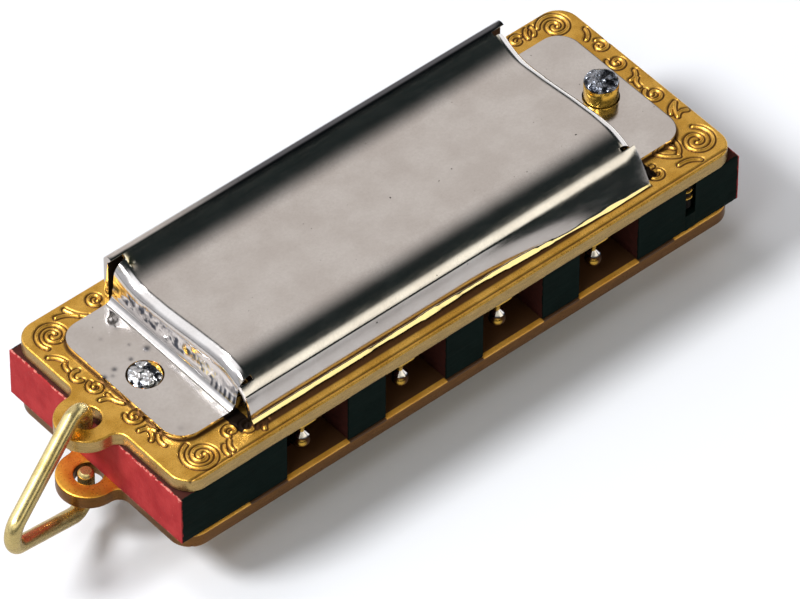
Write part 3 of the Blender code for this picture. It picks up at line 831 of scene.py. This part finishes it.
# Covers: a pressed sheet with a ridge, a broad top, a front roll and a tab at each end
LIP_HEIGHT = 0.25
LIP_STEP = 0.05
CREASE_TOP = 1.44
CREASE_DEPTH = 0.09
TAB_STEPS = 32
COVER_EASING = 0.09
COVER_SMOOTH_ANGLE = math.radians(50.0)

# Turns of the tooth marks along the left wall's foot, in radians per millimetre
TOOTH_RATE = 19.0

# Dents in the ridge's front slope: x and y
RIDGE_DENTS = [(-11.45, 4.65), (12.0, 4.6)]

# Tool marks on the left tab: x, y, radius, depth and dirt
TAB_MARKS = [
    (-13.2, 3.85, 0.2, 0.03, 0.3),
    (-13.42, 3.35, 0.17, -0.022, 0.2),
    (-13.16, 1.38, 0.15, 0.04, 1.0),
    (-13.65, 2.1, 0.08, 0.02, 0.6),
    (-14.18, 1.31, 0.11, 0.025, 0.9),
    (-14.44, 3.24, 0.1, 0.01, 0.3),
    (-15.18, 1.31, 0.13, 0.03, 0.9),
    (-15.87, 1.21, 0.13, 0.03, 1.0),
    (-15.53, 1.02, 0.12, -0.022, 0.5),
    (-12.95, -3.35, 0.09, 0.01, 0.3),
    (-15.2, -3.64, 0.16, 0.008, 0.2),
]


def hood_height(y):
    """Height of the sheet over its plate between the tabs, from the ridge's foot to the lip."""
    if y > VALLEY_Y:
        run = RIDGE_FOOT_Y - VALLEY_Y
        t = (RIDGE_FOOT_Y - y) / run
        fall = 2 * t**3 - 3 * t**2 + 1
        lean = t**3 - 2 * t**2 + t
        drop = RIDGE_FOOT_HEIGHT - VALLEY_HEIGHT
        return VALLEY_HEIGHT + drop * fall - math.tan(RIDGE_TILT) * run * lean
    if y > CROWN_Y:
        t = (VALLEY_Y - y) / (VALLEY_Y - CROWN_Y)
        return VALLEY_HEIGHT + (CROWN_HEIGHT - VALLEY_HEIGHT) * smooth(t)
    share = min(1.0, (CROWN_Y - y) / ROLL_DEPTH)
    return LIP_GAP + (CROWN_HEIGHT - LIP_GAP) * math.sqrt(1 - share**2)


def slot_heights():
    """Heights of the rows beside the slot in the back wall."""
    return [LIP_GAP] + spread(LIP_GAP, RIDGE_HEIGHT - BACK_RIM_DEPTH, 0.3)


def cover_rows():
    """Rows of the sheet from the back wall's foot to the lip: (y, height, tab end or None)."""
    rows = [(COVER_BACK, z, None) for z in slot_heights()]
    crest = (COVER_BACK - RIDGE_BEND, RIDGE_HEIGHT - RIDGE_BEND)
    rows += [(y, z, None) for y, z in arc(crest, RIDGE_BEND, 0.0, math.pi / 2 + RIDGE_TILT, 5.0)]
    back, front = tab_corners(4.5)
    straight = [(TAB_END, y) for y in spread(back[-1][1], front[0][1], 0.08)[:-1]]
    rows += [(y, hood_height(y), end) for end, y in back + straight + front]
    relief_front = TAB_FRONT - RELIEF_WIDTH
    rows.append((relief_front, hood_height(relief_front), None))
    first = math.asin((CROWN_Y - relief_front) / ROLL_DEPTH)
    steep = math.radians(78.0)
    turns = spread(first, steep, math.radians(1.5))
    turns += spread(steep, math.pi / 2, math.radians(0.75))
    for turn in turns:
        height = LIP_GAP + (CROWN_HEIGHT - LIP_GAP) * math.cos(turn)
        rows.append((CROWN_Y - ROLL_DEPTH * math.sin(turn), height, None))
    return rows


def end_path(height, tab_end):
    """(x, height, part) of one row past the hood: the top bend, the wall, the foot and the tab."""
    top = arc((HOOD_END - TOP_BEND, height - TOP_BEND), TOP_BEND, math.pi / 2, 0.0, 4.0)
    foot_x = HOOD_END + END_LEAN + FOOT_BEND
    foot = arc((foot_x, TAB_HEIGHT + FOOT_BEND), FOOT_BEND, math.pi, 3 * math.pi / 2, 6.0)
    path = [(x, z, "top") for x, z in top[1:]]
    (x1, z1), (x2, z2) = top[-1], foot[0]
    for share in spread(0.0, 1.0, 0.1)[:-1]:
        path.append((x1 + (x2 - x1) * share, z1 + (z2 - z1) * share, "wall"))
    path += [(x, z, "foot") for x, z in foot]
    for share in spread(0.0, 1.0, 1 / TAB_STEPS):
        path.append((foot_x + (tab_end - foot_x) * share, TAB_HEIGHT, "tab"))
    return path


def roll_worn(x, z, side):
    """The roll's lower part: creased at the left end, rounder at the right, its lip turned outward.

    Gives how far the sheet moves back, and how much bare brass the lip shows.
    """
    left = smooth((7.5 - x) / 6.0) if side > 0 else 0.0
    right = smooth((x - 1.0) / 10.0) if side > 0 else 0.0
    back = -0.25 * right * max(0.0, 1.25 - z) ** 2
    if z < CREASE_TOP:
        back += CREASE_DEPTH * left * (1 - math.exp((z - CREASE_TOP) / 0.22))
    ragged = wave(x * 0.9, 0.0, side) + 0.6 * wave(x * 3.1, 0.0, side * 3.0)
    step = LIP_STEP * math.floor(2.0 * wave(x * 0.35, 4.0, side) + 0.5)
    lip = LIP_HEIGHT - 0.08 * right + 0.03 * ragged + step
    back -= (0.9 - 0.45 * right) * max(0.0, lip - z)
    return back, smooth((lip + 0.01 - z) / 0.03)


def hood_worn(x, y, z, side):
    """The hood's waves and dents, the worn roll, and the ridge's top darkening towards the right."""
    grime = raw = 0.0
    z += 0.01 * wave(x * 0.16, y * 0.22, side * 3.0)
    z += 0.003 * wave(x * 0.7, y * 0.5, side * 7.0)
    if y < CROWN_Y - 0.5:
        back, raw = roll_worn(x, z, side)
        y += back
    if side > 0 and y > VALLEY_Y:
        for dent_x, dent_y in RIDGE_DENTS:
            away = ((x - dent_x) / 0.24) ** 2 + ((y - dent_y) / 0.28) ** 2
            if away < 6.0:
                z -= 0.1 * math.exp(-away)
                raw = 0.7 * math.exp(-away)
    if side > 0 and y > RIDGE_FOOT_Y:
        grime = 0.85 * smooth((x + 11.0) / 8.0)
    return (x, y, z), grime, raw


def left_wall_worn(x, y, z):
    """The upper cover's left wall: crumpled, with dark blotches painted as its crumples' dark
    reflections, rubbed bare, with tooth marks below.
    """
    worked = smooth((1.62 - z) / 0.25) * smooth((z - 0.5) / 0.2)
    crease = wave(y * 2.2, z * 2.0, 1.0)
    blotch = wave(y * 3.1, z * 3.6, 4.0)
    shiver = wave(y * 9.0, z * 8.0, 9.0)
    x += worked * (0.03 * crease + 0.016 * blotch + 0.01 * shiver)
    x += 0.012 * wave(y * 1.2, z * 0.5, 6.0)
    # Painted dark reflections: blotches of darkness laid over the crumples.
    grime = worked * 0.95 * smooth(2.4 * blotch + 1.2 * shiver + 0.3)
    raw = worked * smooth((0.9 - abs(y + 2.0)) / 0.3) * smooth((shiver - 0.2) / 0.2)
    return (x, y, z), grime, raw


def tooth_mark(y, z):
    """Dirt of the tooth marks at the left wall's foot."""
    tooth = smooth(0.5 + 1.2 * math.sin(y * TOOTH_RATE))
    return tooth * smooth((1.05 - z) / 0.1) * smooth((z - 0.5) / 0.1)


def tab_worn(x, y, z, side):
    grime = 0.0
    z += 0.008 * wave(x * 0.9, y * 0.6, side * 5.0)
    if side > 0 and x < 0:
        for mark_x, mark_y, radius, depth, dirt_and_shade in TAB_MARKS:
            away = ((x - mark_x) ** 2 + (y - mark_y) ** 2) / radius**2
            if away < 6.0:
                dent = math.exp(-away)
                z -= depth * dent
                grime = max(grime, dirt_and_shade * dent)
    return (x, y, z), grime, 0.0


def worn_point(x, y, z, part, side):
    """A point of the used sheet, with its dirt and its bare brass; z is from the plate."""
    if part in ("hood", "edge"):
        return hood_worn(x, y, z, side)
    if part == "tab":
        return tab_worn(x, y, z, side)
    place, grime, raw = (x, y, z), 0.0, 0.0
    left_end = side > 0 and x < 0
    if left_end and part != "foot":
        place, grime, raw = left_wall_worn(x, y, z)
    elif part == "wall":
        place = (x + 0.015 * wave(y * 1.1, z * 0.8, 2.0), y, z)
    elif part == "top":
        place = (x + 0.012 * wave(y * 1.2, z * 0.5, 6.0), y, z)
    if left_end and part != "top" and -4.3 < y < -2.5:
        grime = max(grime * 0.5, tooth_mark(y, z))
    return place, grime, raw


def add_hole(piece, x, y, z, radius):
    """Cuts an upright hole by a modifier, and gives the cutter that it needs until it is applied."""
    bpy.ops.mesh.primitive_cylinder_add(vertices=48, radius=radius * MM, depth=3.0 * MM,
                                        location=CENTRE + Vector((x, y, z)) * MM)
    cutter = bpy.context.object
    cut = piece.modifiers.new("hole", "BOOLEAN")
    configure(cut, operation="DIFFERENCE", solver="EXACT", object=cutter)
    return cutter


def make_cover(name, side, materials):
    bend = HOOD_END - TOP_BEND
    post = HOOD_END - BACK_POST_WIDTH
    left_post = [-bend] + spread(-bend, -post, 0.11)
    right_post = [post] + spread(post, bend, 0.11)
    columns = left_post + spread(-post, post, 0.22) + right_post[1:]
    slot_rows = len(slot_heights()) - 1
    verts, grime, raw, faces = [], [], [], []

    def place(x, y, z, part):
        (px, py, pz), dirt_and_shade, bare = worn_point(x, y, z, part, side)
        verts.append((px, py, side * (PLATE_OUTER + pz)))
        grime.append(dirt_and_shade)
        raw.append(bare)
        return len(verts) - 1

    rows = cover_rows()
    hood, ends = [], {-1: [], 1: []}
    for row, (y, height, tab_end) in enumerate(rows):
        here = left_post + right_post if row < slot_rows else columns
        line = [place(x, y, height, "hood") for x in here]
        hood.append(line)
        path = [(HOOD_END, height, "edge")] if tab_end is None else end_path(height, tab_end)
        for end, start in ((-1, line[0]), (1, line[-1])):
            ends[end].append([start] + [place(end * x, y, z, part) for x, z, part in path])

    def strip(near, far, flipped):
        for i in range(len(near) - 1):
            corners = (near[i], near[i + 1], far[i + 1], far[i])
            faces.append(corners[::-1] if flipped else corners)

    count = len(left_post)
    for row in range(len(rows) - 1):
        near, far = hood[row], hood[row + 1]
        if row < slot_rows:
            strip(near[:count], far[:count], side > 0)
            strip(near[-count:], far[-count:], side > 0)
        else:
            strip(near, far, side > 0)
        if (rows[row][2] is None) == (rows[row + 1][2] is None):
            for end in (-1, 1):
                strip(ends[end][row], ends[end][row + 1], side * end > 0)
    piece = new_piece(name, "_pressed", verts, faces, materials, "cover_plating",
                      grime=grime, raw=raw)
    # The inner face takes the second material, the painted shade of the cover's inside.
    configure(piece.modifiers.new("sheet", "SOLIDIFY"), thickness=COVER_SHEET * MM, offset=-1.0,
              use_even_offset=True, material_offset=1)
    hole_z = side * (PLATE_OUTER + 0.2)
    cutters = [add_hole(piece, end * PIN_X, PIN_Y, hole_z, TAB_HOLE_RADIUS) for end in (-1, 1)]
    configure(piece.modifiers.new("eased", "BEVEL"), width=COVER_EASING * MM, segments=2,
              limit_method="ANGLE", angle_limit=math.radians(60.0))
    apply_modifiers(piece)
    for cutter in cutters:
        bpy.data.objects.remove(cutter, do_unlink=True)
    piece.data.shade_smooth()
    piece.data.set_sharp_from_angle(angle=COVER_SMOOTH_ANGLE)


# Pins, rivets and nail: turned shapes with hammered ends
PEEN_SHARE = 0.94
PEEN_DROP = 0.12
PEEN_INSET = 0.03
# Side of the rivets' painted highlight
HIGHLIGHT_SIDE = math.radians(-125.0)
RIVET_ROUGH = 0.012
RIVET_FOOT = 0.3
RIVET_NECK = 0.14
COLLAR_LOW = 0.74
COLLAR_HIGH = 0.98
COLLAR_FLARE = 0.23
DRAW_HEAD_DEPTH = 0.72
NAIL_RINGS = (0.95, 0.5)
NAIL_RING_RISE = 0.07
NAIL_RING_WIDTH = 0.08
NAIL_TIP = 0.25


def turned(node, profile, materials, slot, steps, rough, seed, stain=lambda point: 0.0):
    """A piece turned round a node's upright middle line from (radius, height) points."""
    spot = middle(node)
    verts, grime, rings = [], [], []
    for radius, height in profile:
        rings.append(range(len(verts), len(verts) + steps))
        for i in range(steps):
            angle = 2 * math.pi * i / steps
            point = Vector((radius * math.cos(angle), radius * math.sin(angle), height))
            if radius > 0.0:
                bumpy = wave(point.x * 3.1 + seed, point.y * 3.1, point.z * 2.0)
                fine = wave(point.x * 8.3, point.y * 8.3 + seed, point.z * 5.0)
                point.z += rough * (0.7 * bumpy + 0.45 * fine)
            verts.append((spot.x + point.x, spot.y + point.y, point.z))
            grime.append(stain(point))
    piece = new_piece(node, "_peened", verts, belts(rings), materials, slot, grime=grime)
    weld(piece)
    return piece


def make_pin(node, end, materials):
    """A pin whose two ends are hammered to low domes; the left one shows a bare crescent."""
    low, high = local_box(node)
    profile = [(0.0, high.z - 0.02)]
    for share in spread(0.0, PEEN_SHARE, 0.085):
        profile.append((PIN_RADIUS * share, high.z - PEEN_INSET - PEEN_DROP * share**4))
    heights = [high.z - 0.22] + spread(high.z - 0.3, low.z + 0.3, 0.5) + [low.z + 0.2]
    profile += [(PIN_RADIUS, z) for z in heights]
    for share in spread(PEEN_SHARE, 0.06, 0.1):
        profile.append((PIN_RADIUS * share, low.z + PEEN_INSET + PEEN_DROP * share**4))
    profile.append((0.0, low.z + 0.02))
    piece = turned(node, profile, materials, "pin_brass", 64, 0.09, 11.0 + end)
    for face in piece.data.polygons:
        bare = end < 0 and face.center.x / MM + PIN_X > 0.68 * PIN_RADIUS
        face.material_index = 1 if abs(face.normal.z) > 0.35 and not bare else 0


def painted_highlight(point, height):
    """One where a rivet's bead gets its painted highlight, on its front left side, nought elsewhere.
    """
    turn = math.atan2(point.y, point.x) - HIGHLIGHT_SIDE
    turn = math.atan2(math.sin(turn), math.cos(turn))
    near_side = min(1.0, math.hypot(point.x, point.y) / RIVET_HEAD_RADIUS)
    return near_side * math.exp(-(turn / 0.75) ** 2 - ((point.z - height) / 0.26) ** 2)


def make_blow_rivet(node, materials):
    """A shank and rounded bead painted near-black as shade, with a painted highlight on the bead,
    and a sloping collar that shows under the plate, in pale plating that reads as a white highlight.
    """
    low, high = local_box(node)
    shank = RIVET_SHANK_RADIUS
    foot = low.z + RIVET_FOOT
    collar_low, collar_high = foot + COLLAR_LOW, foot + COLLAR_HIGH
    bead = (collar_low - foot) / 2
    profile = [(0.0, high.z), (shank, high.z), (shank, high.z - 0.7), (0.2, high.z - 0.72)]
    profile.append((RIVET_NECK, collar_high))
    for share in spread(0.0, 1.0, 0.25):
        z = collar_high + (collar_low - collar_high) * share
        profile.append((RIVET_NECK + COLLAR_FLARE * share, z))
    profile.append((0.26, collar_low - 0.04))
    for angle in range(55, -86, -10):
        turn = math.radians(angle)
        z = foot + bead * (1 + math.sin(turn)) * 0.98
        profile.append((RIVET_HEAD_RADIUS * math.cos(turn), z))
    profile.append((0.0, foot))
    collar_top = collar_high + 0.02

    # Near-black painted shade over all but the collar, lifted where the bead's painted highlight
    # lies.
    def stain(point):
        if collar_low < point.z < collar_top:
            return 0.0
        return 1.6 - 1.6 * painted_highlight(point, foot + 1.2 * bead)

    seed = middle(node).x
    piece = turned(node, profile, materials, "rivet_brass", 32, RIVET_ROUGH, seed, stain)
    # The collar takes the pale plating, so that its reflection shows as a white highlight.
    for face in piece.data.polygons:
        face.material_index = 1 if collar_low < face.center.z / MM < collar_top else 0


def make_draw_rivet(node, materials):
    """A short shank with a hammered dome."""
    low, high = local_box(node)
    shank, head = RIVET_SHANK_RADIUS, RIVET_HEAD_RADIUS
    pad = high.z - DRAW_HEAD_DEPTH
    profile = [(0.0, high.z), (shank, high.z), (shank, pad), (head, pad)]
    for turn in spread(0.0, math.radians(84.0), math.radians(12.0)):
        profile.append((head * math.cos(turn), pad - (pad - low.z) * math.sin(turn)))
    profile.append((0.0, low.z))
    turned(node, profile, materials, "rivet_brass", 32, RIVET_ROUGH, middle(node).x)


def nail_ring(z):
    """One at the height of a ring of the nail, nought away from both."""
    return sum(math.exp(-((z - height) / NAIL_RING_WIDTH) ** 2) for height in NAIL_RINGS)


# Near-black painted shade over the nail, left off at its rings.
def nail_painted_shade(point):
    return 1.9 * (1.0 - min(1.0, 1.4 * nail_ring(point.z)))


def make_nail(node, materials):
    """The reed plate's nail: painted near-black as shade in its notch, but for two bright rings."""
    low, high = local_box(node)
    shank = NAIL_RADIUS - NAIL_RING_RISE
    profile = [(0.0, high.z)]
    for z in spread(high.z + 0.03, low.z + NAIL_TIP, 0.03):
        profile.append((shank + NAIL_RING_RISE * nail_ring(z), z))
    for turn in spread(0.0, math.radians(80), math.radians(10)):
        profile.append((shank * math.cos(turn), low.z + NAIL_TIP * (1 - math.sin(turn))))
    profile.append((0.0, low.z))
    turned(node, profile, materials, "rivet_brass", 64, 0.01, 3.0, nail_painted_shade)


# Bail: drawn wire bent to a V, with rounded ends
BAIL_SIDES = 28
BAIL_END_ROUNDING = 0.25


def bail_path():
    """Points of the wire in the V's own plane: how far out from the axis, and how high."""
    apex = BAIL_REACH - BAIL_APEX_RADIUS
    run = apex - BAIL_BEND_RADIUS
    fall = math.atan2(-BAIL_BEND_START, run)
    away = math.hypot(run, BAIL_BEND_START)
    lean = fall + math.acos((BAIL_BEND_RADIUS - BAIL_APEX_RADIUS) / away)
    upper = [(0.0, BAIL_TIP_HEIGHT), (0.0, BAIL_TIP_HEIGHT + 0.5)]
    upper += arc((BAIL_BEND_RADIUS, BAIL_BEND_START), BAIL_BEND_RADIUS, math.pi, lean, 5.0)
    path = upper + arc((apex, 0.0), BAIL_APEX_RADIUS, lean, -lean, 5.0)
    path += [(reach, -height) for reach, height in reversed(upper)]
    return divided(path, 0.15) + [Vector(path[-1])]


def make_bail(material):
    path = bail_path()
    travelled = [0.0]
    for start, end in zip(path, path[1:]):
        travelled.append(travelled[-1] + (end - start).length)
    turn = Matrix.Rotation(BAIL_REST_SWING, 3, "Z")
    side = Vector((0.0, 1.0, 0.0))
    verts, rings = [], []
    for i, point in enumerate(path):
        ahead = path[min(i + 1, len(path) - 1)] - path[max(i - 1, 0)]
        normal = Vector((-ahead.x, 0.0, ahead.y)).normalized().cross(side)
        from_end = min(travelled[i], travelled[-1] - travelled[i])
        share = min(1.0, from_end / BAIL_END_ROUNDING)
        rounded = math.sqrt(max(0.0, 1 - (1 - share) ** 2))
        radius = WIRE_RADIUS * min(1.0, rounded * 0.35 + 0.65)
        rings.append(range(len(verts), len(verts) + BAIL_SIDES))
        for k in range(BAIL_SIDES):
            angle = 2 * math.pi * k / BAIL_SIDES
            dent = wave(travelled[i] * 0.9, math.cos(angle), math.sin(angle))
            r = radius * (1.0 - 0.02 * (dent + 1.0) * 0.5)
            out = (side * math.cos(angle) + normal * math.sin(angle)) * r
            spot = turn @ (Vector((-point.x, 0.0, point.y)) + out)
            verts.append((spot.x + BAIL_AXIS_X, spot.y, spot.z))
    faces = belts(rings) + [rings[0], rings[-1]]
    weld(new_piece("bail", "_wire", verts, faces, [material], "bail_brass", body="bail"))


# Camera: the photograph's angle, found by fitting the plates' corners
def add_camera():
    azimuth = math.radians(-40.34)
    elevation = math.radians(46.25)
    distance = 0.43224
    flat = math.cos(elevation)
    back = Vector((math.sin(azimuth) * flat, -math.cos(azimuth) * flat, math.sin(elevation)))
    right = Vector((math.cos(azimuth), math.sin(azimuth), 0.0))
    turn = Matrix((right, back.cross(right), back)).transposed().to_4x4()
    data = configure(bpy.data.cameras.new("camera"), sensor_width=36.0, lens=405.0,
                     clip_start=0.01, shift_x=0.02755, shift_y=-0.03326)
    camera = add_object("camera", data)
    camera.matrix_world = Matrix.Translation(CENTRE + back * distance) @ turn
    bpy.context.scene.camera = camera


# Studio: a pale floor, three soft lamps and a dim room with bright panels
LAMP_DISTANCE = 0.5

# Each lamp: name, direction from the comb, diameter and power
LAMPS = [
    ("main_lamp", (-0.64, 0.225, 0.75), 0.14, 2.6),
    ("back_lamp", (-0.14, 0.4, 0.9), 0.14, 0.35),
    ("front_lamp", (-0.55, -0.25, 0.8), 0.12, 0.35),
]

# The room's panels, as the directions between which each one fades in along its axes
WALL = (("y", -0.22, 0.48), ("x", 0.06, 0.22), ("x", 0.72, 0.56))
WINDOW = (("x", 0.06, -0.08), ("y", -0.35, -0.05), ("z", -0.02, 0.12))
SIDE_WINDOW = (("x", 0.74, 0.8), ("z", -0.05, 0.05), ("z", 0.5, 0.4))
STRIP = (("z", 0.365, 0.42), ("z", 0.71, 0.56), ("y", -0.15, -0.35))
WINDOW_BRIGHT = ("x", -0.78, -0.58)


def add_lamp(name, direction, size, power):
    data = bpy.data.lights.new(name, "AREA")
    lamp = add_object(name, configure(data, shape="DISK", size=size, energy=power))
    way = Vector(direction).normalized()
    lamp.location = CENTRE + way * LAMP_DISTANCE
    lamp.rotation_euler = way.to_track_quat("Z", "Y").to_euler()


def add_floor():
    below = FRAME_BOX[0][2] - 0.00002
    bpy.ops.mesh.primitive_plane_add(size=4.0, location=(0.0, 0.0, below))
    floor = bpy.context.object
    floor.name = "floor"
    floor.data.materials.append(floor_look())


def add_world():
    """A dim room: a beige wall behind, a bright strip in front, a window left and one right."""
    world = bpy.data.worlds.new("studio")
    world.use_nodes = True
    bpy.context.scene.world = world
    room = Graph(world.node_tree)
    direction = room.split(room.node("ShaderNodeTexCoord").outputs["Generated"])
    axes = dict(zip("xyz", direction))

    def fade(axis, low, high):
        return room.band(axes[axis], low, high)

    def panel(fades):
        first, second, third = (fade(*values) for values in fades)
        return room.times(first, room.times(second, third))

    glow = room.mix(fade(*WINDOW_BRIGHT), (0.5, 0.51, 0.54), (1.16, 1.18, 1.22))
    colour = room.mix(panel(WALL), (0.014, 0.02, 0.02), (0.66, 0.62, 0.59))
    colour = room.mix(panel(WINDOW), colour, glow)
    colour = room.mix(panel(SIDE_WINDOW), colour, (1.1, 1.12, 1.16))
    colour = room.mix(panel(STRIP), colour, (1.3, 1.24, 1.06))
    room.put(world.node_tree.nodes["Background"].inputs["Color"], colour)


# The upper plate: its pale beige sides are a painted reflection of the bright floor.
UPPER_BRASS = brass_look("upper_plate_brass", (0.62, 0.33, 0.05), (0.8, 0.46, 0.09),
                         (0.57, 0.39, 0.15), (0.24, 0.36), True, 0.8)
# The lower plate: brighter tones paint light on the strip at the openings' front; its dark brown
# sides are painted shade.
LOWER_BRASS = brass_look("lower_plate_brass", (0.8, 0.38, 0.05), (0.92, 0.48, 0.08),
                         (0.22, 0.1, 0.028), (0.26, 0.38), True, 0.8)
BAIL_BRASS = brass_look("bail_brass", (0.66, 0.5, 0.18), (0.78, 0.64, 0.3),
                        (0.74, 0.59, 0.25), (0.22, 0.3), False, 0.35)
SMALL_BRASS = brass_look("small_brass", (0.78, 0.45, 0.06), (0.88, 0.56, 0.11),
                         (0.82, 0.5, 0.08), (0.12, 0.22), False, 0.6)
PLATED = plated_look()
# The covers' inner faces: a near-black brass as painted shade under the sheet.
COVER_INSIDE_SHADE = brass_look("cover_inside_shade", (0.035, 0.026, 0.018), (0.07, 0.055, 0.04),
                          (0.05, 0.04, 0.03), (0.32, 0.46), False, 0.4)
LEFT_PEENED = peened_look("left_pin_end", (0.8, 0.81, 0.84), 0.4, 0.54)
RIGHT_PEENED = peened_look("right_pin_end", (0.42, 0.45, 0.52), 0.44, 0.64)

make_comb(comb_look())
make_plate("upper_reed_plate", 1, "blow", UPPER_BRASS)
make_plate("lower_reed_plate", -1, "draw", LOWER_BRASS)
make_cover("upper_cover", 1, [PLATED, COVER_INSIDE_SHADE])
make_cover("lower_cover", -1, [PLATED, COVER_INSIDE_SHADE])
make_pin("left_pin", -1, [SMALL_BRASS, LEFT_PEENED])
make_pin("right_pin", 1, [SMALL_BRASS, RIGHT_PEENED])
make_bail(BAIL_BRASS)
for number in range(1, CHAMBER_COUNT + 1):
    make_blow_rivet("blow_rivet_" + str(number), [SMALL_BRASS, PLATED])
    make_draw_rivet("draw_rivet_" + str(number), [SMALL_BRASS])
make_nail("plate_nail", [SMALL_BRASS])
for name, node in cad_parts.items():
    if name.startswith(("blow_reed_", "draw_reed_")):
        for slot in node.material_slots:
            slot.material = SMALL_BRASS

add_floor()
add_world()
for lamp in LAMPS:
    add_lamp(*lamp)
add_camera()
bpy.context.scene.view_settings.view_transform = "Standard"
